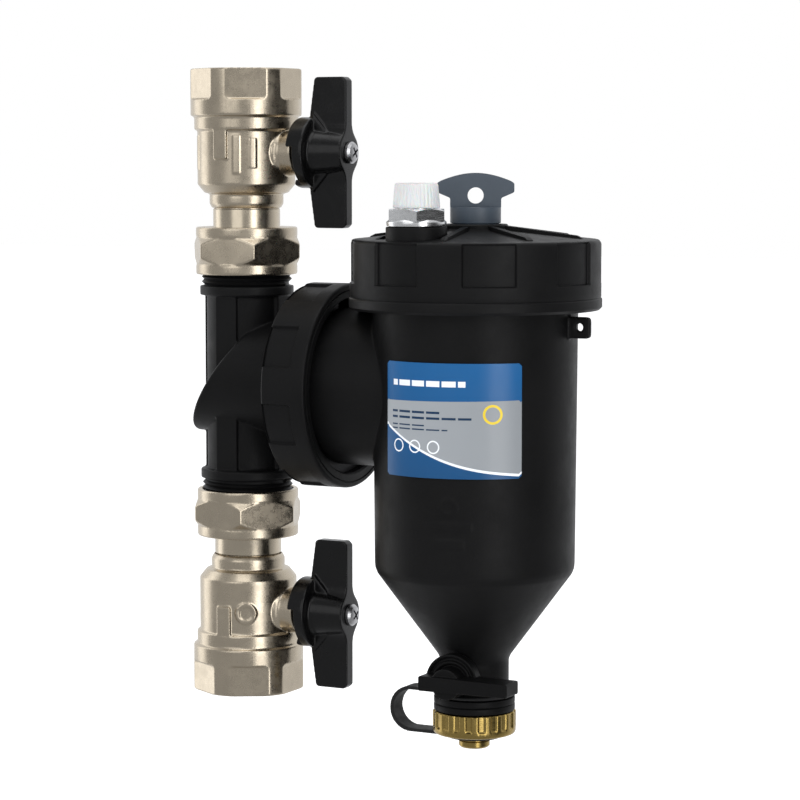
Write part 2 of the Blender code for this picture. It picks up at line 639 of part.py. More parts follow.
def filter_cage(centre, axis):
    """Strainer drum round the magnet sleeve, with windows and an outlet eye."""
    outer_r, inner_r, hole_r = 24.0 * MM, 22.5 * MM, SLEEVE_R + 0.5 * MM
    top, low, wall = 42.0 * MM, -60.0 * MM, 1.5 * MM
    outline = [
        (hole_r, top), (outer_r, top), (outer_r, low), (hole_r, low), (hole_r, low + wall),
        (inner_r, low + wall), (inner_r, top - wall), (hole_r, top - wall),
    ]
    cage = turned("filter_cage", outline, centre, "steel", at=axis, steps=20)
    cut(cage, rod("cage_eye", 10.5 * MM, -30 * MM, -15 * MM, centre, axis="X", at=axis, steps=16))
    for k in range(4):
        middle = math.radians(-135 + 90 * k)
        window = prism("cage_window_" + str(k), sector(20 * MM, 27 * MM, middle, math.radians(44), 2),
                       84 * MM, centre, at=(CANISTER_X, 0, (top + low) / 2))
        cut(cage, window)


def strap(centre, axis):
    """Rubber strap that keeps the drain cap: a ring round the neck, a loop, a ring round the stub."""
    width, thick = 10 * MM, 1.6 * MM
    top_h, low_h = -136.3 * MM, -155.5 * MM
    loop_r = (top_h - low_h) / 2
    middle = (-40.5 * MM + loop_r + thick / 2, (top_h + low_h) / 2)
    outer = arc(middle, loop_r + thick / 2, 90, 270, 7)
    inner = arc(middle, loop_r - thick / 2, 270, 90, 7)
    outline = (
        [(-17 * MM, top_h + thick / 2)] + outer + [(-9 * MM, low_h - thick / 2)]
        + [(-9 * MM, low_h + thick / 2)] + inner + [(-17 * MM, top_h - thick / 2)]
    )
    band = prism("cap_strap", outline, width, centre, "black_rubber", plane="XZ", at=axis)
    upper = ring("strap_upper_ring", 15.8 * MM, 18.5 * MM, top_h - 0.75 * MM, top_h + 0.75 * MM, centre,
                 at=axis, steps=16)
    lower = ring("strap_lower_ring", 7.3 * MM, 12.5 * MM, low_h - 0.75 * MM, low_h + 0.75 * MM, centre,
                 at=axis, steps=12)
    join(band, upper, lower)


# ---- drain --------------------------------------------------------------------------------
def drain_cock():
    """Quarter-turn ball, stem and one-sided lever on the outlet neck."""
    centre = pivot("drain_lever_pivot", (CANISTER_X, 0, NOZZLE_Z + DRAIN_H))
    sphere = ball("drain_ball", DRAIN_BALL_R, centre, "chrome")
    port = rod("drain_port", 5.0 * MM, -12 * MM, 12 * MM, centre, axis="X", steps=16)
    slot = box("drain_slot", (-4 * MM, -10 * MM, -1.8 * MM), (4 * MM, -6.3 * MM, 1.8 * MM), centre)
    cut(sphere, port, slot)
    stem = rod("drain_stem", DRAIN_STEM_R, 8.4 * MM, 26 * MM, centre, "steel", axis="-Y", steps=12)
    join(stem, box("drain_tang", (-2.6 * MM, -9 * MM, -1.4 * MM), (2.6 * MM, -6.7 * MM, 1.4 * MM), centre))

    bar_half, core_r, disc_r = 3.35 * MM, 7.0 * MM, 12.6 * MM
    disc_back, bar_back, bar_front = 18.9 * MM, 19.6 * MM, 32.0 * MM
    lever = rod("drain_lever", core_r, 16.3 * MM, 30 * MM, centre, "satin_black", axis="-Y", steps=20)
    bar = box("lever_bar", (-12.4 * MM, -bar_front, -bar_half), (31 * MM, -bar_back, bar_half), centre)
    eye = rod("lever_bar_eye", DRAIN_STEM_R + GAP, 10 * MM, 26.5 * MM, centre, axis="-Y", steps=20)
    half_disc = [(disc_r * math.cos(math.radians(a)), disc_r * math.sin(math.radians(a)))
                 for a in range(0, 181, 15)]
    fan = prism("lever_fan", half_disc, 5 * MM, centre, plane="XZ", at=(0, -disc_back - 2.5 * MM, 0))
    join(lever, bar, fan)
    cut(lever, eye)

    axis = (CANISTER_X, 0, NOZZLE_Z)
    seal = pivot("drain_seal_pivot", axis)
    ring("drain_gasket", 6.5 * MM, 15.3 * MM, -152.0 * MM, -150.7 * MM, seal, "black_rubber", steps=20)
    cap_centre = pivot("drain_cap_pivot", axis)
    cap_outline = [
        (0, -152.3 * MM), (15.8 * MM, -152.3 * MM), (15.8 * MM, -143.9 * MM),
        (18.7 * MM, -143.9 * MM), (18.7 * MM, -153.6 * MM), (17.9 * MM, -154.4 * MM),
        (7.0 * MM, -154.4 * MM), (7.0 * MM, -160.4 * MM), (6.4 * MM, -161.0 * MM), (0, -161.0 * MM),
    ]
    turned("drain_cap", cap_outline, cap_centre, "raw_brass", steps=20)


# ---- lid, vent and key --------------------------------------------------------------------
def lid():
    """Screwed lid with its grip recesses, vent boss, seal and magnet sleeve."""
    axis = (CANISTER_X, 0, NOZZLE_Z)
    seal = pivot("lid_seal_pivot", axis)
    o_ring("lid_o_ring", 46.2 * MM, 0.7 * MM, 61.0 * MM, seal, steps=24)
    centre = pivot("lid_pivot", axis)
    hole_r = SLEEVE_R + GAP
    edge = 1.5 * MM
    slope_top_h = 73.0 * MM
    outline = [
        (hole_r, LID_BOSS_H), (LID_BOSS_R, LID_BOSS_H), (LID_BOSS_R, slope_top_h),
        (LID_R - edge, LID_TOP_H), (LID_R, LID_TOP_H - edge), (LID_R, LID_BAND_H),
        (LID_BAND_R, LID_BAND_H), (LID_BAND_R, LID_LOW_H), (CANISTER_THREAD_R + 0.4 * MM, LID_LOW_H),
        (CANISTER_THREAD_R + 0.4 * MM, LID_CEILING_H), (hole_r, LID_CEILING_H),
    ]
    cover = turned("lid_cover", outline, centre, "black_nylon", steps=40)
    for k in range(GRIP_COUNT):
        middle = LID_GRIP_ANGLE + 2 * math.pi * k / GRIP_COUNT
        slice_outline = sector(LID_R - 1.3 * MM, LID_R + 2 * MM, middle, GRIP_SPAN, 2)
        cut(cover, prism("lid_recess_" + str(k), slice_outline, 18.2 * MM, centre, at=(0, 0, 57.9 * MM)))
    vent_at = (VENT_RADIUS * math.cos(VENT_ANGLE), VENT_RADIUS * math.sin(VENT_ANGLE), 0)
    boss = rod("vent_boss", VENT_BOSS_R, 64.0 * MM, VENT_BOSS_H, centre, at=vent_at)
    bore = rod("vent_bore", 6.5 * MM, 55 * MM, 80 * MM, centre, at=vent_at, steps=16)
    well = rod("vent_seal_well", 10.0 * MM, 72.2 * MM, 80 * MM, centre, at=vent_at, steps=16)
    cut(join(cover, boss), bore, well)

    sleeve_outline = [
        (0, SLEEVE_LOW_H + 1.5 * MM), (SLEEVE_BORE_R, SLEEVE_LOW_H + 1.5 * MM),
        (SLEEVE_BORE_R, 74.2 * MM), (SLEEVE_R, 74.2 * MM), (SLEEVE_R, 61.7 * MM),
        (17.0 * MM, 61.7 * MM), (17.0 * MM, 59.5 * MM), (SLEEVE_R, 59.5 * MM),
        (SLEEVE_R, SLEEVE_LOW_H), (0, SLEEVE_LOW_H),
    ]
    turned("magnet_sleeve", sleeve_outline, centre, "black_nylon", steps=20)
    vent(centre, vent_at)


def vent(centre, vent_at):
    """Manual air vent: threaded body with a hexagon, its seal and its turning cap."""
    body_outline = [
        (3.0 * MM, 87.0 * MM), (8.0 * MM, 87.0 * MM), (8.0 * MM, 78.0 * MM), (13.1 * MM, 77.0 * MM),
        (13.1 * MM, 74.3 * MM), (6.2 * MM, 74.3 * MM), (6.2 * MM, 62.4 * MM), (3.0 * MM, 62.4 * MM),
    ]
    body = turned("vent_body", body_outline, centre, "chrome", at=vent_at, steps=20)
    corner_r = 12.0 * MM / math.cos(math.pi / 6)
    hexagon = rod("vent_hexagon", corner_r, 76.0 * MM, 81.8 * MM, centre, at=vent_at, steps=6)
    hexagon.rotation_euler = (0, 0, math.radians(-2.5))
    cut(hexagon, rod("vent_hexagon_eye", 7.0 * MM, 70 * MM, 90 * MM, centre, at=vent_at, steps=16))
    join(body, hexagon)
    ring("vent_o_ring", 6.6 * MM, 9.6 * MM, 72.5 * MM, 74.0 * MM, centre, "black_rubber",
         at=vent_at, steps=16)

    cap_centre = pivot("vent_cap_pivot", (CANISTER_X + vent_at[0], vent_at[1], NOZZLE_Z))
    cap_outline = [
        (1.5 * MM, 93.0 * MM), (8.9 * MM, 93.0 * MM), (9.5 * MM, 92.4 * MM), (10.3 * MM, 82.1 * MM),
        (8.3 * MM, 82.1 * MM), (8.3 * MM, 90.5 * MM), (1.5 * MM, 90.5 * MM),
    ]
    cap = turned("vent_cap", cap_outline, cap_centre, "clear_white", steps=24)
    spout_angle = math.radians(150)
    spout = box("vent_spout", (8.8 * MM, -2 * MM, 84 * MM), (12.2 * MM, 2 * MM, 90 * MM), cap_centre,
                turn=(0, 0, spout_angle))
    join(cap, spout)


def key_plate_outline():
    """Half arched T of the key, mirrored about its middle."""
    neck, half = 11.3 * MM, 17.15 * MM
    right = [
        (neck, 81.0 * MM), (neck, 86.0 * MM), (half, 88.5 * MM), (half, 92.8 * MM),
        (12.0 * MM, 95.2 * MM), (6.0 * MM, 96.6 * MM),
    ]
    top = [(0, 97.1 * MM)]
    return right + top + [(-x, z) for x, z in reversed(right)]


def magnet_key():
    """Pull-out magnet rod with its T grip, about the canister axis."""
    axis = (CANISTER_X, 0, NOZZLE_Z)
    seal = pivot("key_seal_pivot", axis)
    o_ring("key_o_ring", 9.55 * MM, 0.6 * MM, 69.2 * MM, seal, steps=20)
    centre = pivot("magnet_key_pivot", axis, (0, 0, KEY_ANGLE))
    plug_r, groove_r, tip_h = 10.4 * MM, 8.6 * MM, 64.0 * MM
    outline = [
        (0, 81.9 * MM), (KEY_R, 81.9 * MM), (KEY_R, 74.9 * MM), (plug_r, 74.9 * MM),
        (plug_r, 70.6 * MM), (groove_r, 70.6 * MM), (groove_r, 67.8 * MM), (plug_r, 67.8 * MM),
        (plug_r, tip_h), (0, tip_h),
    ]
    handle = turned("key_handle", outline, centre, "key_grey", steps=16)
    plate = prism("key_plate", key_plate_outline(), 4 * MM, centre, plane="XZ")
    eye = rod("key_eye", 3.6 * MM, -5 * MM, 5 * MM, centre, axis="-Y", at=(0, 0, 87.1 * MM), steps=16)
    socket = rod("key_rod_socket", 3.3 * MM, 50 * MM, 72 * MM, centre, steps=12)
    cut(join(handle, plate), eye, socket)

    rod_r, magnet_r, low_h = 3.0 * MM, 10.0 * MM, -72.0 * MM
    turned("magnet_rod", [
        (0, 71.7 * MM), (rod_r, 71.7 * MM), (rod_r, low_h + 3 * MM), (8 * MM, low_h + 3 * MM),
        (8 * MM, low_h), (0, low_h),
    ], centre, "steel", steps=12)
    count, pole_h = 3, 3.0 * MM
    stack_low, stack_high = low_h + 3 * MM + GAP, tip_h - GAP
    pitch = (stack_high - stack_low + pole_h + GAP) / count
    for k in range(count):
        base = stack_low + k * pitch
        top = base + pitch - pole_h - GAP
        ring("magnet_" + str(k + 1), rod_r + GAP, magnet_r, base, top, centre, "magnet_steel", steps=16)
        if k < count - 1:
            ring("pole_piece_" + str(k + 1), rod_r + GAP, magnet_r, top + GAP, base + pitch - GAP, centre,
                 "steel", steps=16)


ball_valve("lower", math.pi)
ball_valve("upper", 0.0)
tee()
ring_nut()
canister()
drain_cock()
lid()
magnet_key()
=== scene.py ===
"""Looks of the magnetic system filter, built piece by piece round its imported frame.

Every piece is made in metres in the frame's own axes: +Z up along the pipe, +X from the pipe to
the canister, -Y to the front. Heights along the pipe are measured from the nozzle axis.
"""

import json
import logging
import math
from dataclasses import dataclass
from enum import Enum
from typing import Callable, Optional, Sequence

import bmesh
import bpy
from mathutils import Matrix, Vector


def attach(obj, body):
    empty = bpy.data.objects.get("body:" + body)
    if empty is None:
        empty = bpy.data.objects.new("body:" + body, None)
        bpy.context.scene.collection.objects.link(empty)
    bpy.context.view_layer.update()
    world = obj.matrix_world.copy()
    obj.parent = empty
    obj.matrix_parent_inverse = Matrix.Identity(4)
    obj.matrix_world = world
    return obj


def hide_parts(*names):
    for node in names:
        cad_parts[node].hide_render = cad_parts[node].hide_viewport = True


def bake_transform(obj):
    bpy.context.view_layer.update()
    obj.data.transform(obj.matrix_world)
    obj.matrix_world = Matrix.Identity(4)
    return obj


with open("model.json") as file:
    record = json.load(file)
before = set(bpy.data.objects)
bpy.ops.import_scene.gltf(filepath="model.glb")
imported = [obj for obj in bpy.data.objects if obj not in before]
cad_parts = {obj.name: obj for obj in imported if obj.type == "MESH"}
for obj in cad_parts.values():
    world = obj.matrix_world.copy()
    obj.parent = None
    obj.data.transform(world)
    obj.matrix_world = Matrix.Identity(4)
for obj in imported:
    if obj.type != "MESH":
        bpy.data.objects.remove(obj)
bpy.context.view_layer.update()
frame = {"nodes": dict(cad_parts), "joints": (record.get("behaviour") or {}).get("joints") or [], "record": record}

logging.basicConfig(level=logging.INFO, format="%(message)s")
LOG = logging.getLogger("filter")

MM = 0.001
TAU = 2 * math.pi
Outline = Sequence[tuple[float, float]]
Relief = Callable[[float, float, float], float]
Colour = tuple[float, float, float]
Piece = bpy.types.Object

JOINTS = {joint["name"]: joint for joint in frame["joints"]}
SLOT_OF = {row["node"]: row["material_slot"] for row in frame["record"]["subparts"]}


def joint_point(name: str) -> Vector:
    """Return a point on a joint's axis.

    Args:
        name: the joint's name in the frame.

    Returns:
        The point, in metres.
    """
    return Vector(JOINTS[name]["pos_m"])


NOZZLE_Z = joint_point("ring_nut_turn").z
CANISTER = Vector((joint_point("lid_turn").x, 0.0, NOZZLE_Z))
CROSSING = Vector((0.0, 0.0, NOZZLE_Z))
VENT = Vector((joint_point("vent_cap_turn").x, joint_point("vent_cap_turn").y, NOZZLE_Z))
DRAIN = Vector((CANISTER.x, 0.0, joint_point("drain_lever_turn").z))


LEVEL = Matrix.Identity(4)
PAST = 5 * MM
PIPE_PITCH = 2.309 * MM


class Facing(Enum):
    """Which way a turned piece's own +Z points in the frame."""

    UP = Matrix.Identity(4)
    DOWN = Matrix.Rotation(math.pi, 4, "X")
    RIGHT = Matrix.Rotation(math.pi / 2, 4, "Y")
    FRONT = Matrix.Rotation(math.pi / 2, 4, "X")


def standing(at: Vector, facing: Facing = Facing.UP) -> Matrix:
    """Return the matrix that puts a piece at a point, facing one way."""
    return shifted(at) @ facing.value


def shifted(by: Sequence[float]) -> Matrix:
    """Return a shift."""
    return Matrix.Translation(by)


def spun(angle: float) -> Matrix:
    """Return a turn about +Z."""
    return Matrix.Rotation(angle, 4, "Z")


# ---- outlines -----------------------------------------------------------------------------
def in_mm(*points: tuple[float, float]) -> list[tuple[float, float]]:
    """Return outline points, given in millimetres, in metres."""
    return [(x * MM, y * MM) for x, y in points]


def hexagon_corners(corner_r: float) -> list[tuple[float, float]]:
    """Return the corners of a hexagon, from its radius at the corners."""
    return [(corner_r * math.cos(TAU * k / 6), corner_r * math.sin(TAU * k / 6)) for k in range(6)]


def ball_profile(radius: float, steps: int) -> list[tuple[float, float]]:
    """Return a ball's half outline, from pole to pole."""
    arc = [(radius * math.sin(math.pi * i / steps), radius * math.cos(math.pi * i / steps))
           for i in range(steps + 1)]
    arc[0], arc[-1] = (0.0, radius), (0.0, -radius)
    return arc


def rounded(points: Outline, radius: float, segments: int = 3,
            closed: bool = True) -> list[tuple[float, float]]:
    """Round every corner of an outline.

    Args:
        points: the outline's corners.
        radius: the wanted corner radius; short edges get a smaller one.
        segments: straight pieces in each rounded corner.
        closed: whether the last point joins the first.

    Returns:
        The outline with an arc in place of each corner.
    """
    count = len(points)
    result: list[tuple[float, float]] = []
    for i, corner in enumerate(points):
        if not closed and i in (0, count - 1):
            result.append(tuple(corner))
            continue
        here = Vector(corner)
        back = Vector(points[i - 1]) - here
        on = Vector(points[(i + 1) % count]) - here
        if back.length < 1e-9 or on.length < 1e-9:
            continue
        turn = math.pi - back.angle(on)
        if turn < math.radians(8):
            result.append(tuple(corner))
            continue
        reach = min(radius * math.tan(turn / 2), back.length * 0.45, on.length * 0.45)
        start, end = here + back.normalized() * reach, here + on.normalized() * reach
        for k in range(segments + 1):
            t = k / segments
            point = (1 - t) ** 2 * start + 2 * t * (1 - t) * here + t * t * end
            result.append((point.x, point.y))
    return result


def ring_slice(radius_in: float, radius_out: float, middle: float, span: float, count: int = 12) -> list:
    """Return the outline of a slice of a ring, counter-clockwise."""
    turns = [middle - span / 2 + span * i / count for i in range(count + 1)]
    outer = [(radius_out * math.cos(a), radius_out * math.sin(a)) for a in turns]
    inner = [(radius_in * math.cos(a), radius_in * math.sin(a)) for a in reversed(turns)]
    return outer + inner


def smooth_step(low: float, high: float, value: float) -> float:
    """Return 0 below low, 1 above high, and an even S between them."""
    t = min(1.0, max(0.0, (value - low) / (high - low)))
    return t * t * (3 - 2 * t)


# ---- meshes -------------------------------------------------------------------------------
def to_object(name: str, bm: bmesh.types.BMesh, matrix: Matrix = LEVEL) -> Piece:
    """Turn a bmesh into an object whose place is in its mesh."""
    bmesh.ops.remove_doubles(bm, verts=bm.verts, dist=1e-6)
    bmesh.ops.recalc_face_normals(bm, faces=bm.faces)
    mesh = bpy.data.meshes.new(name)
    bm.to_mesh(mesh)
    bm.free()
    mesh.transform(matrix)
    obj = bpy.data.objects.new(name, mesh)
    bpy.context.scene.collection.objects.link(obj)
    return obj


def lathe(name: str, outline: Outline, matrix: Matrix, steps: int = 96, relief: Optional[Relief] = None,
          turns: Optional[Sequence[float]] = None) -> Piece:
    """Turn an outline of (radius, height) about its own Z.

    Args:
        name: the new object's name.
        outline: corners; it is closed into a ring unless both ends lie on the axis.
        matrix: where the piece stands.
        steps: sides round the axis.
        relief: radius added at (angle, radius, height), for recesses and flutes.
        turns: the angles to use in place of even steps.

    Returns:
        The closed object.
    """
    angles = list(turns) if turns else [TAU * i / steps for i in range(steps)]
    closed = outline[0][0] > 1e-9 or outline[-1][0] > 1e-9
    bm = bmesh.new()
    columns = []
    for angle in angles:
        column = []
        for radius, height in outline:
            reach = radius + (relief(angle, radius, height) if relief and radius > 1e-9 else 0.0)
            column.append(bm.verts.new((reach * math.cos(angle), reach * math.sin(angle), height)))
        columns.append(column)
    rows = len(outline)
    for i, column in enumerate(columns):
        following = columns[(i + 1) % len(columns)]
        for k in range(rows if closed else rows - 1):
            n = (k + 1) % rows
            corners = [column[k], column[n], following[n], following[k]]
            if outline[k][0] < 1e-9:
                corners.pop(3)
            elif outline[n][0] < 1e-9:
                corners.pop(2)
            bm.faces.new(corners)
    return to_object(name, bm, matrix)


def slab(name: str, outline: Outline, depth: float, matrix: Matrix, bevel: float = 0.0,
         segments: int = 2) -> Piece:
    """Extrude a flat outline to both sides of its plane.

    Args:
        name: the new object's name.
        outline: the corners, in the plane's own x and y.
        depth: the full thickness, along the plane's normal.
        matrix: where the plane stands.
        bevel: width of the bevel on every sharp edge.
        segments: steps in that bevel.

    Returns:
        The closed object.
    """
    bm = bmesh.new()
    low = [bm.verts.new((x, y, -depth / 2)) for x, y in outline]
    high = [bm.verts.new((x, y, depth / 2)) for x, y in outline]
    bm.faces.new(reversed(low))
    bm.faces.new(high)
    for i in range(len(outline)):
        n = (i + 1) % len(outline)
        bm.faces.new((low[i], low[n], high[n], high[i]))
    if bevel:
        sharp = [e for e in bm.edges if e.calc_face_angle(0) > math.radians(30)]
        bmesh.ops.bevel(bm, geom=sharp, offset=bevel, segments=segments, affect="EDGES", profile=0.6)
    return to_object(name, bm, matrix)


def block(name: str, low: Sequence[float], high: Sequence[float], matrix: Matrix,
          bevel: float = 0.0) -> Piece:
    """Make a box from its low corner to its high corner, with bevelled edges."""
    bm = bmesh.new()
    bmesh.ops.create_cube(bm, size=1.0)
    for vertex in bm.verts:
        vertex.co = Vector(low[k] + (vertex.co[k] + 0.5) * (high[k] - low[k]) for k in range(3))
    if bevel:
        bmesh.ops.bevel(bm, geom=list(bm.edges), offset=bevel, segments=2, affect="EDGES", profile=0.6)
    return to_object(name, bm, matrix)


def evaluated(obj: Piece) -> Piece:
    """Apply an object's modifiers to its own mesh."""
    bpy.context.view_layer.update()
    graph = bpy.context.evaluated_depsgraph_get()
    mesh = bpy.data.meshes.new_from_object(obj.evaluated_get(graph))
    obj.modifiers.clear()
    obj.data = mesh
    return obj


def sealed(obj: Piece, reach: float = 0.006 * MM) -> Piece:
    """Merge the slivers that a Boolean leaves and close any pinhole."""
    bm = bmesh.new()
    bm.from_mesh(obj.data)
    bmesh.ops.remove_doubles(bm, verts=bm.verts, dist=reach)
    bmesh.ops.dissolve_degenerate(bm, edges=bm.edges, dist=reach / 4)
    bmesh.ops.holes_fill(bm, edges=[edge for edge in bm.edges if edge.is_boundary], sides=0)
    bm.to_mesh(obj.data)
    bm.free()
    return obj


def combined(obj: Piece, operation: str, *tools: Piece) -> Piece:
    """Apply one exact Boolean for each tool, and remove the tools."""
    for tool in tools:
        modifier = obj.modifiers.new("shape", "BOOLEAN")
        modifier.solver = "EXACT"
        modifier.operation = operation
        modifier.object = tool
    evaluated(obj)
    for tool in tools:
        bpy.data.objects.remove(tool, do_unlink=True)
    return sealed(obj)


def fused(obj: Piece, *tools: Piece) -> Piece:
    """Join solids to an object."""
    return combined(obj, "UNION", *tools)


def carved(obj: Piece, *tools: Piece) -> Piece:
    """Take solids away from an object."""
    return combined(obj, "DIFFERENCE", *tools)


def cast(obj: Piece, voxel: float, rounds: int, keep: float) -> Piece:
    """Give a fused solid the soft corners and fillets of a casting.

    Args:
        obj: the solid.
        voxel: size of the remesh cells.
        rounds: smoothing passes.
        keep: share of the faces to keep.

    Returns:
        The same object with its new mesh.
    """
    remesh = obj.modifiers.new("cells", "REMESH")
    remesh.mode = "VOXEL"
    remesh.voxel_size = voxel
    smooth = obj.modifiers.new("flow", "SMOOTH")
    smooth.factor = 0.5
    smooth.iterations = rounds
    fewer = obj.modifiers.new("fewer", "DECIMATE")
    fewer.ratio = keep
    return evaluated(obj)


def shaded(obj: Piece, sharp_degrees: float = 32.0) -> Piece:
    """Shade an object smooth, with its sharper edges kept sharp."""
    obj.data.shade_smooth()
    obj.data.set_sharp_from_angle(angle=math.radians(sharp_degrees))
    return obj


# ---- repeated features by geometry nodes ---------------------------------------------------
def run_tree(obj: Piece, tree: bpy.types.GeometryNodeTree, values: dict[str, object]) -> Piece:
    """Run a geometry node tree on an object and keep the result as a plain mesh."""
    modifier = obj.modifiers.new("pattern", "NODES")
    modifier.node_group = tree
    for item in tree.interface.items_tree:
        if item.in_out == "INPUT" and item.name in values:
            modifier[item.identifier] = values[item.name]
    return evaluated(obj)


def math_node(tree: bpy.types.NodeTree, operation: str, *terms) -> bpy.types.NodeSocket:
    """Add one Math node to a tree.

    Args:
        tree: the tree that gets the node.
        operation: what the node works out.
        terms: its inputs in order, each a socket or a number.

    Returns:
        The node's result.
    """
    node = tree.nodes.new("ShaderNodeMath")
    node.operation = operation
    for slot, term in zip(node.inputs, terms):
        if isinstance(term, (int, float)):
            slot.default_value = term
        else:
            tree.links.new(term, slot)
    return node.outputs[0]


def node_tree(name: str, inputs: dict[str, str]) -> bpy.types.GeometryNodeTree:
    """Start a geometry node tree with a geometry input, named inputs and a geometry output."""
    tree = bpy.data.node_groups.new(name, "GeometryNodeTree")
    tree.interface.new_socket("Geometry", in_out="INPUT", socket_type="NodeSocketGeometry")
    for label, kind in inputs.items():
        tree.interface.new_socket(label, in_out="INPUT", socket_type=kind)
    tree.interface.new_socket("Geometry", in_out="OUTPUT", socket_type="NodeSocketGeometry")
    return tree


def ending(tree: bpy.types.GeometryNodeTree, result, material) -> None:
    """Finish a tree: realize its instances, set the material, and put it out."""
    nodes, link = tree.nodes, tree.links.new
    real = nodes.new("GeometryNodeRealizeInstances")
    paint = nodes.new("GeometryNodeSetMaterial")
    out = nodes.new("NodeGroupOutput")
    link(result, real.inputs["Geometry"])
    link(real.outputs["Geometry"], paint.inputs["Geometry"])
    link(material, paint.inputs["Material"])
    link(paint.outputs["Geometry"], out.inputs["Geometry"])


def radial_tree() -> bpy.types.GeometryNodeTree:
    """Build the tree that repeats one shape round its own Z axis, and in rows along it."""
    tree = node_tree("radial_repeat", {
        "Count": "NodeSocketInt", "Rows": "NodeSocketInt", "Row Pitch": "NodeSocketFloat",
        "Row Turn": "NodeSocketFloat", "Material": "NodeSocketMaterial"})
    nodes, link = tree.nodes, tree.links.new
    entry = nodes.new("NodeGroupInput")
    count = entry.outputs["Count"]
    points = nodes.new("GeometryNodePoints")
    link(math_node(tree, "MULTIPLY", count, entry.outputs["Rows"]), points.inputs["Count"])
    index = nodes.new("GeometryNodeInputIndex").outputs[0]
    row = math_node(tree, "FLOOR", math_node(tree, "DIVIDE", index, count))
    place = nodes.new("ShaderNodeCombineXYZ")
    link(math_node(tree, "MULTIPLY", row, entry.outputs["Row Pitch"]), place.inputs["Z"])
    link(place.outputs[0], points.inputs["Position"])
    around = math_node(tree, "MULTIPLY", index, math_node(tree, "DIVIDE", TAU, count))
    stagger = math_node(tree, "MULTIPLY_ADD", row, entry.outputs["Row Turn"], around)
    turn = nodes.new("ShaderNodeCombineXYZ")
    link(stagger, turn.inputs["Z"])
    copies = nodes.new("GeometryNodeInstanceOnPoints")
    link(points.outputs[0], copies.inputs["Points"])
    link(entry.outputs["Geometry"], copies.inputs["Instance"])
    link(turn.outputs[0], copies.inputs["Rotation"])
    ending(tree, copies.outputs[0], entry.outputs["Material"])
    return tree


def thread_tree() -> bpy.types.GeometryNodeTree:
    """Build the tree that winds a thread's ridge along a helix."""
    tree = node_tree("helix_thread", {
        "Radius": "NodeSocketFloat", "Pitch": "NodeSocketFloat", "Turns": "NodeSocketFloat",
        "Sides": "NodeSocketInt", "Ridge": "NodeSocketFloat", "Material": "NodeSocketMaterial"})
    nodes, link = tree.nodes, tree.links.new
    entry = nodes.new("NodeGroupInput")
    spiral = nodes.new("GeometryNodeCurveSpiral")
    link(entry.outputs["Sides"], spiral.inputs["Resolution"])
    link(entry.outputs["Turns"], spiral.inputs["Rotations"])
    link(entry.outputs["Radius"], spiral.inputs["Start Radius"])
    link(entry.outputs["Radius"], spiral.inputs["End Radius"])
    rise = math_node(tree, "MULTIPLY", entry.outputs["Pitch"], entry.outputs["Turns"])
    link(rise, spiral.inputs["Height"])
    upright = nodes.new("GeometryNodeSetCurveNormal")
    upright.mode = "Z_UP"
    link(spiral.outputs[0], upright.inputs["Curve"])
    section = nodes.new("GeometryNodeCurvePrimitiveCircle")
    section.inputs["Resolution"].default_value = 4
    link(entry.outputs["Ridge"], section.inputs["Radius"])
    sweep = nodes.new("GeometryNodeCurveToMesh")
    sweep.inputs["Fill Caps"].default_value = True
    link(upright.outputs[0], sweep.inputs["Curve"])
    link(section.outputs[0], sweep.inputs["Profile Curve"])
    ending(tree, sweep.outputs[0], entry.outputs["Material"])
    return tree


class Patterns:
    """The geometry node trees, each built once."""

    _made: dict[str, bpy.types.GeometryNodeTree] = {}

    @classmethod
    def get(cls, name: str, build: Callable[[], bpy.types.GeometryNodeTree]) -> bpy.types.GeometryNodeTree:
        """Return the named tree, building it the first time."""
        if name not in cls._made:
            cls._made[name] = build()
        return cls._made[name]

    @classmethod
    def around(cls, seed: Piece, count: int, finish: "Finish", matrix: Matrix, rows: int = 1,
               pitch: float = 0.0, row_turn: float = 0.0) -> Piece:
        """Repeat a seed shape round its Z axis, then stand the result in place."""
        run_tree(seed, cls.get("radial", radial_tree), {
            "Count": count, "Rows": rows, "Row Pitch": pitch, "Row Turn": row_turn,
            "Material": finish.material()})
        seed.data.transform(matrix)
        return seed

    @classmethod
    def thread(cls, name: str, radius: float, pitch: float, turns: float, finish: "Finish",
               matrix: Matrix, ridge: float) -> Piece:
        """Wind a thread's ridge up a cylinder."""
        obj = to_object(name, bmesh.new())
        run_tree(obj, cls.get("thread", thread_tree), {
            "Radius": radius, "Pitch": pitch, "Turns": turns, "Sides": 72, "Ridge": ridge,
            "Material": finish.material()})
        obj.data.transform(matrix)
        return shaded(obj)


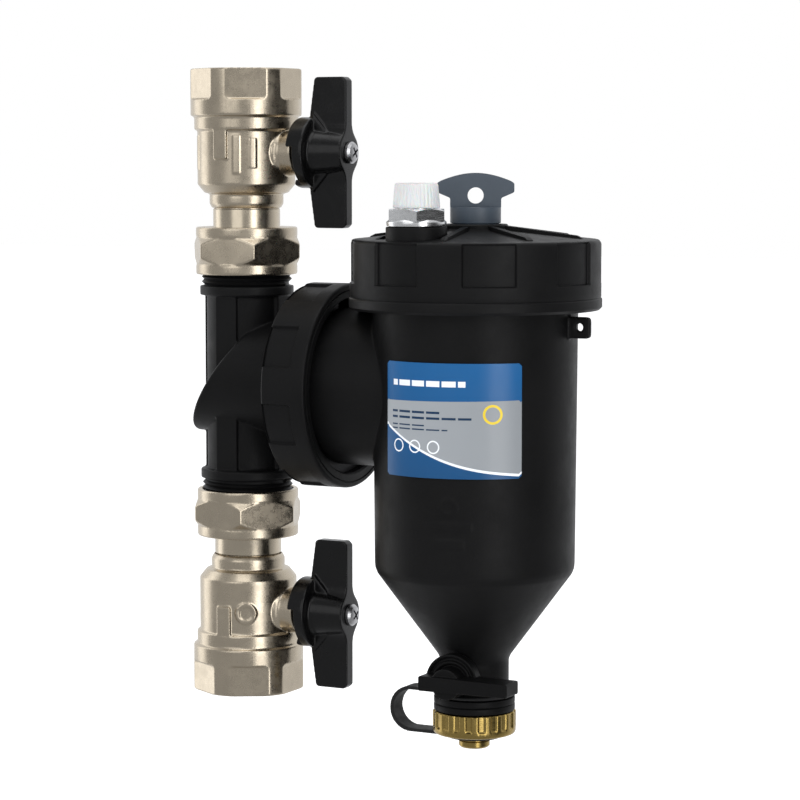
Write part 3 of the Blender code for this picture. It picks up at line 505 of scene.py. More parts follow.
# ---- finishes -----------------------------------------------------------------------------
class Graph:
    """A thin hand on one material's node tree."""

    def __init__(self, name: str) -> None:
        """Start a material with a Principled shader on Object coordinates."""
        self.material = bpy.data.materials.new(name)
        self.material.use_nodes = True
        self.nodes = self.material.node_tree.nodes
        self.link = self.material.node_tree.links.new
        self.shader = self.nodes["Principled BSDF"]
        self.place = self.nodes.new("ShaderNodeTexCoord").outputs["Object"]

    def stretched(self, scale: tuple[float, float, float]):
        """Return the Object coordinates scaled along each axis."""
        mapping = self.nodes.new("ShaderNodeMapping")
        mapping.inputs["Scale"].default_value = scale
        self.link(self.place, mapping.inputs["Vector"])
        return mapping.outputs["Vector"]

    def noise(self, scale: float, detail: float = 4.0, rough: float = 0.55, vector=None):
        """Return a noise value; scale counts features in a metre."""
        node = self.nodes.new("ShaderNodeTexNoise")
        node.inputs["Scale"].default_value = scale
        node.inputs["Detail"].default_value = detail
        node.inputs["Roughness"].default_value = rough
        self.link(vector or self.place, node.inputs["Vector"])
        return node.outputs["Fac"]

    def cells(self, scale: float, feature: str = "F1"):
        """Return the distance value of a Voronoi pattern."""
        node = self.nodes.new("ShaderNodeTexVoronoi")
        node.feature = feature
        node.inputs["Scale"].default_value = scale
        self.link(self.place, node.inputs["Vector"])
        return node.outputs["Distance"]

    def spread(self, value, low: float, high: float, start: float = 0.3, end: float = 0.7):
        """Map a value from start..end to low..high."""
        node = self.nodes.new("ShaderNodeMapRange")
        node.inputs["From Min"].default_value = start
        node.inputs["From Max"].default_value = end
        node.inputs["To Min"].default_value = low
        node.inputs["To Max"].default_value = high
        self.link(value, node.inputs["Value"])
        return node.outputs["Result"]

    def sums(self, operation: str, *terms):
        """Return one Math node's result; a number or a socket may stand for each term."""
        return math_node(self.material.node_tree, operation, *terms)

    def blend(self, amount, first, second):
        """Mix two colours, each a tuple or a socket, by an amount from a socket."""
        node = self.nodes.new("ShaderNodeMix")
        node.data_type = "RGBA"
        self.link(amount, node.inputs["Factor"])
        for socket, term in ((node.inputs[6], first), (node.inputs[7], second)):
            if isinstance(term, tuple):
                socket.default_value = (*term, 1.0)
            else:
                self.link(term, socket)
        return node.outputs[2]

    def bumped(self, layers: Sequence[tuple[object, float, float]]) -> None:
        """Stack bump layers of (height, depth in metres, strength) on the shader's normal."""
        normal = None
        for height, depth, strength in layers:
            node = self.nodes.new("ShaderNodeBump")
            node.inputs["Distance"].default_value = depth
            node.inputs["Strength"].default_value = strength
            self.link(height, node.inputs["Height"])
            if normal:
                self.link(normal, node.inputs["Normal"])
            normal = node.outputs["Normal"]
        self.link(normal, self.shader.inputs["Normal"])

    def feed(self, socket: str, value) -> None:
        """Link a value to one of the shader's sockets."""
        self.link(value, self.shader.inputs[socket])

    def fix(self, socket: str, value: float) -> None:
        """Set a uniform value on one of the shader's sockets."""
        self.shader.inputs[socket].default_value = value


@dataclass(frozen=True)
class Finish:
    """A surface: its name and its ground colour."""

    name: str
    colour: Colour

    _made = {}

    def material(self) -> bpy.types.Material:
        """Return the finish's material, made once."""
        if self.name not in Finish._made:
            graph = Graph(self.name)
            graph.material.diffuse_color = (*self.colour, 1.0)
            self.dress(graph)
            Finish._made[self.name] = graph.material
        return Finish._made[self.name]

    def dress(self, graph: Graph) -> None:
        """Add the nodes that give the surface its detail."""
        raise NotImplementedError

    def darker(self, share: float) -> Colour:
        """Return the ground colour at a share of its lightness."""
        return tuple(channel * share for channel in self.colour)


@dataclass(frozen=True)
class NickelPlate(Finish):
    """Satin nickel plate over brass, grainy where it was cast and plain where it was turned."""

    grain: float = 0.5
    polish: float = 0.22

    def dress(self, graph: Graph) -> None:
        """Warm cloudy colour, sand-cast grain and faint handling marks."""
        clouds = graph.noise(70, 5)
        tarnish = graph.blend(graph.spread(clouds, 0.0, 1.0, 0.35, 0.72), self.colour, self.darker(0.88))
        speck = graph.spread(graph.noise(1500, 2), 0.0, 1.0, 0.68, 0.90)
        graph.feed("Base Color", graph.blend(speck, tarnish, self.darker(0.84)))
        graph.fix("Metallic", 1.0)
        graph.feed("Roughness", graph.spread(graph.noise(260, 6, 0.7), self.polish, self.polish + 0.14))
        graph.bumped([
            (graph.noise(900, 5, 0.6), 0.00005 * self.grain, 0.8),
            (graph.noise(2600, 3, 0.7), 0.00002, 0.5 * self.grain),
            (graph.noise(120, 2), 0.0001 * self.grain, 0.3),
        ])


@dataclass(frozen=True)
class MouldedNylon(Finish):
    """Black glass-filled nylon with a spark-eroded grain."""

    grain: float = 1.0

    def dress(self, graph: Graph) -> None:
        """Near-black, with fibre specks, flow clouds and a fine mould texture."""
        fibres = graph.spread(graph.noise(2400, 2, 0.8, graph.stretched((1.0, 1.0, 0.35))), 0.0, 1.0, 0.60,
                              0.78)
        flow = graph.blend(graph.spread(graph.noise(28, 4), 0.0, 1.0), self.colour, self.darker(1.5))
        graph.feed("Base Color", graph.blend(fibres, flow, self.darker(2.2)))
        graph.feed("Roughness", graph.spread(graph.noise(90, 6, 0.65), 0.38, 0.52))
        graph.fix("Specular IOR Level", 0.13)
        graph.bumped([
            (graph.noise(1900, 4, 0.6), 0.00006 * self.grain, 0.75),
            (graph.cells(3400), 0.00003 * self.grain, 0.5),
            (graph.noise(45, 3), 0.0004, 0.12),
        ])


@dataclass(frozen=True)
class SatinCoat(Finish):
    """Black coating on a die-cast handle, with a slight orange peel and rubbed spots."""

    def dress(self, graph: Graph) -> None:
        """Dark satin with soft peel and lighter rubs."""
        rub = graph.spread(graph.noise(160, 7, 0.75), 0.0, 1.0, 0.60, 0.80)
        graph.feed("Base Color", graph.blend(rub, self.colour, self.darker(2.2)))
        graph.feed("Roughness", graph.spread(graph.noise(210, 5), 0.17, 0.29))
        graph.fix("Specular IOR Level", 0.26)
        graph.fix("Coat Weight", 0.07)
        graph.fix("Coat Roughness", 0.20)
        graph.bumped([
            (graph.noise(850, 3), 0.00005, 0.6),
            (graph.noise(3000, 2), 0.00002, 0.4),
        ])


@dataclass(frozen=True)
class TurnedMetal(Finish):
    """Bare metal with the fine lines of a lathe or a brush along one axis."""

    rough: float = 0.25
    lines: float = 1.0
    along: tuple[float, float, float] = (0.05, 0.05, 1.0)

    def dress(self, graph: Graph) -> None:
        """Fine lines, small scratches and a slow change of tone."""
        strokes = graph.noise(5200, 3, 0.6, graph.stretched(self.along))
        stain = graph.spread(graph.noise(110, 5, 0.7), 0.0, 1.0, 0.38, 0.75)
        graph.feed("Base Color", graph.blend(stain, self.colour, self.darker(0.68)))
        graph.fix("Metallic", 1.0)
        graph.feed("Roughness", graph.spread(strokes, self.rough, self.rough + 0.16))
        graph.bumped([
            (strokes, 0.00002 * self.lines, 0.7),
            (graph.noise(700, 4), 0.00003, 0.25),
        ])


@dataclass(frozen=True)
class SoftRubber(Finish):
    """Matte black rubber with dust in its pores."""

    def dress(self, graph: Graph) -> None:
        """Dull, faintly dusty and slightly uneven."""
        dust = graph.spread(graph.noise(420, 6, 0.75), 0.0, 1.0, 0.52, 0.80)
        graph.feed("Base Color", graph.blend(dust, self.colour, self.darker(2.4)))
        graph.feed("Roughness", graph.spread(graph.noise(300, 4), 0.55, 0.78))
        graph.bumped([(graph.noise(1700, 4), 0.00005, 0.6), (graph.noise(180, 2), 0.0002, 0.2)])


@dataclass(frozen=True)
class PlainPlastic(Finish):
    """Coloured plastic: milky, glossy or satin."""

    rough: float = 0.35
    milk: float = 0.0
    grain: float = 0.5

    def dress(self, graph: Graph) -> None:
        """Slow shade changes, pin-head specks and a light texture."""
        shade = graph.spread(graph.noise(60, 5), 0.0, 1.0)
        mottled = graph.blend(shade, self.colour, self.darker(0.86))
        specks = graph.spread(graph.noise(2100, 2), 0.0, 1.0, 0.66, 0.82)
        graph.feed("Base Color", graph.blend(specks, mottled, self.darker(0.65)))
        graph.feed("Roughness", graph.spread(graph.noise(140, 5), self.rough, self.rough + 0.12))
        if self.milk:
            graph.fix("Subsurface Weight", self.milk)
            graph.fix("Subsurface Scale", 0.004)
        graph.bumped([
            (graph.noise(1500, 3), 0.00005 * self.grain, 0.6),
            (graph.noise(90, 2), 0.0003, 0.12),
        ])


@dataclass(frozen=True)
class PrintedFilm(Finish):
    """Glossy printed film: a blue ground, a pale swept panel, rules and plain pictograms.

    It reads the label's own map: u runs from 0 to 1 along the width, v up the height.
    """

    panel: Colour = (0.34, 0.365, 0.39)
    ink: Colour = (0.85, 0.88, 0.92)

    def dress(self, graph: Graph) -> None:
        """Build the print from bands, rules and rings."""
        split = graph.nodes.new("ShaderNodeSeparateXYZ")
        graph.link(graph.nodes.new("ShaderNodeUVMap").outputs["UV"], split.inputs[0])
        u, v = split.outputs["X"], split.outputs["Y"]
        tone = graph.spread(v, 0.0, 1.0, 0.0, 1.0)
        ground = graph.blend(tone, self.darker(0.75), self.darker(1.15))
        swell = graph.sums("MULTIPLY", graph.sums("SINE", graph.sums("MULTIPLY", u, math.pi)), 0.10)
        top = graph.sums("SUBTRACT", 0.66, graph.sums("MULTIPLY", u, -0.02))
        under = graph.sums("SUBTRACT", graph.sums("MULTIPLY_ADD", u, -0.42, 0.46), swell)
        panel = graph.sums("MULTIPLY", self.below(graph, v, top), self.below(graph, under, v))
        sheen = graph.blend(graph.spread(u, 0.0, 1.0, 0.0, 1.0), self.panel,
                            tuple(c * 0.72 for c in self.panel))
        picture = graph.blend(panel, ground, sheen)
        stripe = graph.sums("SUBTRACT", under, 0.022)
        edge = graph.sums("MULTIPLY", self.below(graph, stripe, v), self.below(graph, v, under))
        picture = graph.blend(edge, picture, self.ink)
        for row, (height, start, end, thick) in enumerate((
                (0.82, 0.07, 0.62, 0.050), (0.57, 0.06, 0.46, 0.020), (0.52, 0.06, 0.66, 0.020),
                (0.455, 0.06, 0.34, 0.012), (0.42, 0.06, 0.50, 0.012))):
            ink = self.ink if row == 0 else self.darker(0.30)
            picture = graph.blend(self.bar(graph, u, v, height, start, end, thick), picture, ink)
        for middle in (0.12, 0.26, 0.40):
            picture = graph.blend(self.ring(graph, u, v, middle, 0.27, 0.052, 0.012), picture, self.ink)
        picture = graph.blend(self.ring(graph, u, v, 0.80, 0.56, 0.075, 0.022), picture, (0.75, 0.55, 0.02))
        graph.feed("Base Color", picture)
        graph.feed("Roughness", graph.spread(graph.noise(240, 4), 0.28, 0.38))
        graph.fix("Specular IOR Level", 0.35)
        graph.fix("Coat Weight", 0.15)
        graph.fix("Coat Roughness", 0.18)
        graph.bumped([(graph.noise(900, 2), 0.00001, 0.5), (graph.noise(60, 2), 0.0002, 0.12)])

    @staticmethod
    def below(graph: Graph, first, second):
        """Return 1 where the first value is below the second."""
        return graph.sums("LESS_THAN", first, second)

    @staticmethod
    def bar(graph: Graph, u, v, height: float, start: float, end: float, thick: float):
        """Return 1 inside a printed rule that is broken into short dashes."""
        in_v = graph.sums("COMPARE", v, height, thick / 2)
        in_u = graph.sums("COMPARE", u, (start + end) / 2, (end - start) / 2)
        dash = graph.sums("GREATER_THAN", graph.sums("FRACT", graph.sums("MULTIPLY", u, 9.0)), 0.14)
        return graph.sums("MULTIPLY", graph.sums("MULTIPLY", in_u, in_v), dash)

    @staticmethod
    def ring(graph: Graph, u, v, middle: float, height: float, radius: float, thick: float):
        """Return 1 on a plain ring."""
        across = graph.sums("MULTIPLY", graph.sums("SUBTRACT", u, middle), 1.30)
        up = graph.sums("SUBTRACT", v, height)
        squares = graph.sums("ADD", graph.sums("MULTIPLY", across, across), graph.sums("MULTIPLY", up, up))
        return graph.sums("COMPARE", graph.sums("SQRT", squares), radius, thick / 2)


NICKEL_CAST = NickelPlate("nickel_cast", (0.58, 0.505, 0.395), grain=0.35, polish=0.21)
NICKEL_TURNED = NickelPlate("nickel_turned", (0.60, 0.525, 0.41), grain=0.15, polish=0.17)
NYLON = MouldedNylon("black_nylon_moulded", (0.0042, 0.0042, 0.0044))
NYLON_FINE = MouldedNylon("black_nylon_fine", (0.0036, 0.0036, 0.0038), grain=0.6)
COATING = SatinCoat("satin_black_coating", (0.0034, 0.0034, 0.0036))
STEEL = TurnedMetal("satin_steel", (0.55, 0.55, 0.56), rough=0.24)
CHROME = TurnedMetal("bright_chrome", (0.90, 0.91, 0.92), rough=0.17, lines=0.4)
MAGNET = TurnedMetal("plated_magnet", (0.45, 0.45, 0.47), rough=0.30, lines=0.5)
# Snap ring finish: near-black, painted shade for the dark gap between the nozzle and the ring nut's lip.
SNAP_RING_SHADE = TurnedMetal("snap_ring_painted_shade", (0.030, 0.030, 0.032), rough=0.40, lines=0.5)
RAW_BRASS = TurnedMetal("turned_brass", (0.42, 0.30, 0.095), rough=0.20)
RUBBER = SoftRubber("black_rubber_soft", (0.006, 0.006, 0.0065))
PTFE = PlainPlastic("white_ptfe", (0.78, 0.78, 0.76), rough=0.42)
MILKY = PlainPlastic("milky_cap", (0.74, 0.75, 0.755), rough=0.30, milk=0.30, grain=0.4)
KEY_GREY = PlainPlastic("blue_grey_key", (0.070, 0.092, 0.120), rough=0.38, grain=1.0)
LABEL = PrintedFilm("label_print", (0.002, 0.086, 0.25))

SLOT_FINISH: dict[str, Finish] = {
    "nickel_brass": NICKEL_TURNED, "raw_brass": RAW_BRASS, "steel": STEEL, "chrome": CHROME,
    "magnet_steel": MAGNET, "black_nylon": NYLON, "satin_black": COATING, "black_rubber": RUBBER,
    "seal_white": PTFE, "clear_white": MILKY, "key_grey": KEY_GREY, "label_blue": LABEL,
}


# ---- handing pieces to the frame ------------------------------------------------------------
def hand_over(piece: Piece, body: str, finish: Finish, *nodes: str, slot: str = "") -> Piece:
    """Dress a piece, make it ride on a body, and hide the frame nodes it stands for.

    Args:
        piece: the finished object, at the origin.
        body: the frame body it moves with.
        finish: its surface.
        nodes: frame nodes that it replaces.
        slot: the record's material slot; not used.

    Returns:
        The same piece.
    """
    if not piece.data.materials:
        piece.data.materials.append(finish.material())
    elif piece.data.materials[0] is None:
        piece.data.materials[0] = finish.material()
    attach(piece, body)
    if nodes:
        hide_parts(*nodes)
    slot or SLOT_OF[nodes[0]]
    LOG.info("%s rides on %s", piece.name, body)
    return piece


@dataclass(frozen=True)
class Span:
    """How far a frame node reaches along an axis and out from it."""

    low: float
    high: float
    inner: float
    outer: float

    @classmethod
    def of(cls, node: str, matrix: Matrix) -> "Span":
        """Measure a node in the own space of a standing piece."""
        back = matrix.inverted()
        points = [back @ vertex.co for vertex in frame["nodes"][node].data.vertices]
        reach = [math.hypot(p.x, p.y) for p in points]
        heights = [p.z for p in points]
        return cls(min(heights), max(heights), min(reach), max(reach))


def fine_ring(node: str, body: str, finish: Finish, matrix: Matrix, edge: float = 0.2 * MM) -> Piece:
    """Replace a plain ring by a smooth one with broken edges."""
    span = Span.of(node, matrix)
    outline = [(span.inner, span.high), (span.outer, span.high), (span.outer, span.low),
               (span.inner, span.low)]
    piece = shaded(lathe(node + "_fine", rounded(outline, edge, 2), matrix, 72))
    return hand_over(piece, body, finish, node)


def fine_o_ring(node: str, body: str, matrix: Matrix) -> Piece:
    """Replace a coarse seal by a round-section one."""
    span = Span.of(node, matrix)
    middle, height = (span.inner + span.outer) / 2, (span.low + span.high) / 2
    cord = (span.high - span.low) / 2
    outline = [(middle + cord * math.cos(TAU * i / 12), height - cord * math.sin(TAU * i / 12))
               for i in range(12)]
    piece = shaded(lathe(node + "_fine", outline, matrix, 72), 60)
    return hand_over(piece, body, RUBBER, node)


# ---- ball valves --------------------------------------------------------------------------
@dataclass
class BallValve:
    """One union ball valve; heights run outwards from the nozzle axis."""

    side: str
    facing: Facing
    end_h: float = 144.5 * MM
    socket_r: float = 25.65 * MM
    socket_flats: float = 23.75 * MM
    flats_low_h: float = 130.4 * MM
    socket_low_h: float = 123.0 * MM
    collar_r: float = 24.0 * MM
    collar_low_h: float = 116.5 * MM
    housing_r: float = 22.6 * MM
    housing_low_h: float = 91.5 * MM
    thread_bore_r: float = 19.5 * MM
    stem_h: float = 106.0 * MM
    port_r: float = 12.5 * MM
    neck_r: float = 15.5 * MM
    bonnet_r: float = 10.4 * MM
    bonnet_x: float = 29.0 * MM
    nut_top_h: float = 71.8 * MM
    nut_low_h: float = 49.9 * MM
    nut_flats: float = 23.0 * MM
    nut_rim_r: float = 23.5 * MM
    nut_rim_h: float = 4.8 * MM
    thread_r: float = 20.95 * MM
    handle_back: float = 29.4 * MM
    skirt_x: float = 38.0 * MM
    skirt_r: float = 16.2 * MM
    handle_front: float = 54.2 * MM
    wing_reach: float = 34.3 * MM
    wing_half: float = 3.0 * MM

    @property
    def matrix(self) -> Matrix:
        """The valve's own space in the frame."""
        return standing(CROSSING, self.facing)

    @property
    def stem(self) -> Matrix:
        """The stem's space: own +Z runs out along the stem."""
        return self.matrix @ shifted((0, 0, self.stem_h)) @ Facing.RIGHT.value

    def node(self, part: str) -> str:
        """Return a frame node's name on this side."""
        return f"{self.side}_{part}"

    def build(self) -> None:
        """Build and dress every piece of the valve."""
        self.body()
        self.socket_thread()
        self.tailpiece()
        self.union_nut()
        self.handle()
        self.handle_screw()
        self.inner_parts()

    def body(self) -> None:
        """Cast housing: hexagon end, collar, bonnet, blank pads and the bored-out inside."""
        outline = [
            (0, self.end_h), (self.socket_r, self.end_h), (self.socket_r, self.socket_low_h),
            (self.collar_r, self.socket_low_h - 0.6 * MM), (self.collar_r, self.collar_low_h),
            (self.housing_r, self.collar_low_h - 0.3 * MM), (self.housing_r, self.housing_low_h),
            (19.4 * MM, 87.6 * MM), (16.9 * MM, 87.0 * MM), (17.1 * MM, 85.6 * MM), (17.1 * MM, 82.6 * MM),
            (15.9 * MM, 80.5 * MM), (0, 80.5 * MM)]
        body = lathe(self.node("valve_body_cast"), rounded(outline, 0.8 * MM, 2, False), LEVEL, 112)
        self.cut_flats(body)
        bonnet_outline = [(0, 16 * MM), (0, self.bonnet_x), (self.bonnet_r - 0.5 * MM, self.bonnet_x),
                          (self.bonnet_r, self.bonnet_x - 0.5 * MM), (self.bonnet_r, 22 * MM),
                          (self.bonnet_r + 1.2 * MM, 20.4 * MM), (self.bonnet_r + 1.2 * MM, 16 * MM)]
        across = shifted((0, 0, self.stem_h)) @ Facing.RIGHT.value
        bonnet = lathe("bonnet", list(reversed(bonnet_outline)), across, 64)
        fused(body, bonnet, *self.pads())
        mouth_r = self.thread_bore_r + 1.3 * MM
        inside = [(0, 160 * MM), (mouth_r, 160 * MM), (mouth_r, self.end_h),
                  (self.thread_bore_r, self.end_h - 1.3 * MM), (self.thread_bore_r, 125.5 * MM),
                  (19.0 * MM, 125.5 * MM), (19.0 * MM, 96.0 * MM), (17.8 * MM, 96.0 * MM),
                  (17.8 * MM, 88.9 * MM), (self.port_r, 88.9 * MM), (self.port_r, 87.3 * MM),
                  (self.neck_r, 87.3 * MM), (self.neck_r, 70 * MM), (0, 70 * MM)]
        hole = in_mm((0, 40), (6.5, 40), (6.5, 22), (4.3, 22), (4.3, 10), (0, 10))
        carved(body, lathe("inside", inside, LEVEL, 112), lathe("stem_hole", hole, across, 48))
        cast(body, 0.42 * MM, 3, 0.32)
        body.data.transform(self.matrix)
        shaded(body, 50)
        hand_over(body, self.side + "_valve", NICKEL_CAST, self.node("valve_body"))

    def cut_flats(self, body: Piece) -> None:
        """Cut the six wrench flats, each with round lower corners."""
        half = math.sqrt(self.socket_r ** 2 - self.socket_flats ** 2)
        low, high = self.flats_low_h - self.end_h, 4 * MM
        corners = [(-half, low), (half, low), (half + 1.5 * MM, high), (-half - 1.5 * MM, high)]
        outline = rounded(corners, 3.2 * MM, 5)
        tools = []
        for k in range(6):
            turn = (spun(TAU * k / 6) @ shifted((self.socket_flats + PAST, 0, self.end_h))
                    @ spun(math.pi / 2) @ Facing.FRONT.value)
            tools.append(slab(f"flat_{k}", outline, 10 * MM, turn))
        carved(body, *tools)

    def pads(self) -> list[Piece]:
        """Blank cast pads on the housing: two strips off the collar and plain tablets or a ring."""
        made = []
        for turn in (-90.6, 89.4):
            spin = spun(math.radians(turn))
            made.append(block("strip", (20 * MM, -3.5 * MM, 103.2 * MM), (23.75 * MM, 3.5 * MM, 119 * MM),
                              spin, 0.4 * MM))
        if self.side == "lower":
            spin = spun(math.radians(62.5)) @ shifted((0, 0, self.stem_h)) @ Facing.RIGHT.value
            ring = in_mm((3.2, 20), (3.2, 23.1), (4.9, 23.1), (4.9, 20))
            made.append(lathe("plain_ring", list(reversed(ring)), spin, 40))
            return made
        for turn, low, high in ((-71.0, 96.5 * MM, 114.0 * MM), (-52.0, 99.0 * MM, 112.5 * MM),
                                (-137.0, 98.0 * MM, 114.0 * MM)):
            spin = spun(math.radians(turn))
            made.append(block("tablet", (20 * MM, -1.7 * MM, low), (23.0 * MM, 1.7 * MM, high), spin,
                              0.5 * MM))
        return made

    def socket_thread(self) -> None:
        """Female thread inside the hexagon end."""
        pitch, turns = PIPE_PITCH, 6.5
        start = self.matrix @ shifted((0, 0, self.end_h - 1.6 * MM - pitch * turns))
        thread = Patterns.thread(self.node("socket_thread"), self.thread_bore_r + 0.25 * MM, pitch, turns,
                                 NICKEL_TURNED, start, 0.75 * MM)
        hand_over(thread, self.side + "_valve", NICKEL_TURNED, slot="nickel_brass")

    def tailpiece(self) -> None:
        """Union tail with its turned neck and flange."""
        outline = [(self.port_r, 87.0 * MM), (self.neck_r - 0.3 * MM, 87.0 * MM),
                   (self.neck_r - 0.3 * MM, 80.2 * MM), (self.neck_r, 80.0 * MM), (self.neck_r, 64.7 * MM),
                   (20.5 * MM, 64.7 * MM), (20.5 * MM, 61.0 * MM), (self.port_r, 61.0 * MM)]
        piece = shaded(lathe(self.node("tail_turned"), rounded(outline, 0.3 * MM, 2), self.matrix, 96))
        hand_over(piece, self.side + "_valve", NICKEL_TURNED, self.node("tailpiece"))

    def union_nut(self) -> None:
        """Hexagon nut between two round rims, its corners turned off."""
        low, top = self.nut_low_h + self.nut_rim_h, self.nut_top_h - self.nut_rim_h
        corner_r = self.nut_flats / math.cos(math.pi / 6)
        spin = spun(math.radians(7.5))
        bite = 0.2 * MM
        nut = slab(self.node("union_nut_forged"), hexagon_corners(corner_r), top - low + 2 * bite,
                   spin @ shifted((0, 0, (low + top) / 2)))
        end_r, wide_r, turned_h = self.nut_rim_r - 0.2 * MM, corner_r + 0.1 * MM, 3.2 * MM
        chamfer = lathe("chamfer", [(0, top + 2 * bite), (end_r, top + 2 * bite), (end_r, top),
                                    (wide_r, top - turned_h), (wide_r, low + turned_h), (end_r, low),
                                    (end_r, low - 2 * bite), (0, low - 2 * bite)], LEVEL, 112)
        combined(nut, "INTERSECT", chamfer)
        rims = []
        for name, start, end in (("rim_low", self.nut_low_h, low), ("rim_top", top, self.nut_top_h)):
            rim = rounded([(0, end), (self.nut_rim_r, end), (self.nut_rim_r, start), (0, start)], 0.9 * MM,
                          3, False)
            rims.append(lathe(name, rim, LEVEL, 112))
        fused(nut, *rims)
        bore = self.neck_r + 0.4 * MM
        hole = [(0, 90 * MM), (bore + 1.4 * MM, 90 * MM), (bore + 1.4 * MM, self.nut_top_h),
                (bore, self.nut_top_h - 1.4 * MM), (bore, 65.0 * MM), (self.thread_r + 0.3 * MM, 65.0 * MM),
                (self.thread_r + 0.3 * MM, 30 * MM), (0, 30 * MM)]
        carved(nut, lathe("nut_hole", hole, LEVEL, 112))
        cast(nut, 0.40 * MM, 2, 0.32)
        nut.data.transform(self.matrix)
        shaded(nut, 50)
        hand_over(nut, self.side + "_nut", NICKEL_CAST, self.node("union_nut"))

    def handle(self) -> None:
        """Butterfly handle: notched skirt, tapering hub and two wings that flow out of it."""
        hub = [(0, self.handle_front), (9.4 * MM, self.handle_front), (11.0 * MM, self.skirt_x + 1 * MM),
               (11.6 * MM, self.skirt_x), (self.skirt_r, self.skirt_x), (self.skirt_r, self.handle_back),
               (0, self.handle_back)]
        handle = lathe(self.node("handle_cast"), rounded(hub, 1.0 * MM, 3, False), Facing.RIGHT.value, 96)
        handle.data.transform(shifted((0, 0, self.stem_h)))
        centre = shifted((0, 0, self.stem_h))
        front = self.handle_front
        root, face = 4 * MM, front - 0.08 * MM
        wing = [(35.6 * MM, root), (35.3 * MM, 17 * MM), (37.6 * MM, self.wing_reach - 0.9 * MM),
                (38.8 * MM, self.wing_reach), (face - 1.8 * MM, self.wing_reach),
                (face, self.wing_reach - 1.6 * MM), (face, root)]
        tools = []
        for sign in (1, -1):
            outline = [(x, sign * z) for x, z in rounded(wing, 1.2 * MM, 3, False)]
            tools.append(slab(f"wing_{sign}", outline, 2 * self.wing_half, centre @ Facing.FRONT.value))
        tools.append(slab("flow", self.front_outline(), 15 * MM,
                          centre @ shifted((front - 7.54 * MM, 0, 0)) @ Facing.RIGHT.value))
        for sign in (1, -1):
            gusset = [(37.5 * MM, sign * 8 * MM), (46.5 * MM, sign * 8 * MM), (37.5 * MM, sign * 18 * MM)]
            tools.append(slab(f"gusset_{sign}", gusset, 9.5 * MM, centre @ Facing.FRONT.value))
        fused(handle, *tools)
        self.hollow_handle(handle, centre)
        cast(handle, 0.40 * MM, 4, 0.30)
        handle.data.transform(self.matrix)
        shaded(handle, 60)
        hand_over(handle, self.side + "_handle", COATING, self.node("handle"))

    def front_outline(self) -> list[tuple[float, float]]:
        """Front outline of the hub, hollow-sided where it runs out into the wings."""
        hub_r, flank = 9.4 * MM, 9.0 * MM
        lift = math.sqrt((hub_r + flank) ** 2 - (self.wing_half + flank) ** 2)
        touch = math.atan2(lift, self.wing_half + flank)
        quarter = [(hub_r * math.cos(touch * i / 6), hub_r * math.sin(touch * i / 6)) for i in range(7)]
        steps = 6
        for i in range(1, steps + 1):
            a = math.pi + touch - touch * i / steps
            quarter.append((self.wing_half + flank + flank * math.cos(a), lift + flank * math.sin(a)))
        quarter.append((self.wing_half, self.wing_reach - 4 * MM))
        mirrored = [(-x, y) for x, y in reversed(quarter)]
        upper = quarter + mirrored
        lower = [(-x, -y) for x, y in upper]
        across = upper[:-1] + lower[:-1]
        return [(y, x) for x, y in across]

    def hollow_handle(self, handle: Piece, centre: Matrix) -> None:
        """Cut the skirt's inside, the stem bore and the two stop notches."""
        inside = [(0, self.handle_back - PAST), (13.5 * MM, self.handle_back - PAST),
                  (13.5 * MM, 35.5 * MM), (4.3 * MM, 35.5 * MM), (4.3 * MM, 51.5 * MM),
                  (2.3 * MM, 51.5 * MM), (2.3 * MM, 60 * MM), (0, 60 * MM)]
        tools = [lathe("handle_bore", inside, centre @ Facing.RIGHT.value, 64)]
        for middle in (-63.0, 117.0):
            notch = ring_slice(12 * MM, 20 * MM, math.radians(middle), math.radians(75), 10)
            place = centre @ shifted((28.0 * MM, 0, 0)) @ Facing.RIGHT.value
            tools.append(slab("notch", notch, 10 * MM, place))
        carved(handle, *tools)

    def handle_screw(self) -> None:
        """Pan head screw with a cross recess."""
        head = in_mm((0, 57.5), (2.6, 57.35), (4.1, 56.8), (5.0, 55.7), (5.0, 54.5),
                (2.0, 54.5), (2.0, 44.0), (0, 44.0))
        across = shifted((0, 0, self.stem_h)) @ Facing.RIGHT.value
        screw = lathe(self.node("screw_turned"), head, across, 48)
        slots = []
        for turn in (35, 125):
            spin = across @ spun(math.radians(turn))
            slots.append(block("slot", (-2.7 * MM, -0.55 * MM, 55.6 * MM), (2.7 * MM, 0.55 * MM, 60 * MM),
                               spin))
        carved(screw, *slots)
        screw.data.transform(self.matrix)
        hand_over(shaded(screw, 28), self.side + "_handle", STEEL, self.node("handle_screw"))

    def inner_parts(self) -> None:
        """Seals, seats, ball and the stem's packing and gland inside the housing."""
        valve = self.side + "_valve"
        fine_ring(self.node("seat_retainer"), valve, NICKEL_TURNED, self.matrix)
        fine_ring(self.node("gasket"), valve, RUBBER, self.matrix)
        fine_ring(self.node("stem_packing"), valve, PTFE, self.stem)
        fine_ring(self.node("gland"), valve, NICKEL_TURNED, self.stem)
        self.ball()
        self.seats()

    def ball(self) -> None:
        """Polished ball with its through port and stem slot."""
        ball = lathe(self.node("ball_polished"), ball_profile(18.5 * MM, 48), LEVEL, 72)
        port = lathe("port", [(0, 25 * MM), (self.port_r, 25 * MM), (self.port_r, -25 * MM), (0, -25 * MM)],
                     LEVEL, 64)
        slot = block("slot", (15.2 * MM, -2.5 * MM, -5 * MM), (20 * MM, 2.5 * MM, 5 * MM), LEVEL)
        carved(ball, port, slot)
        ball.data.transform(self.matrix @ shifted((0, 0, self.stem_h)))
        hand_over(shaded(ball), self.side + "_handle", CHROME, self.node("ball"))

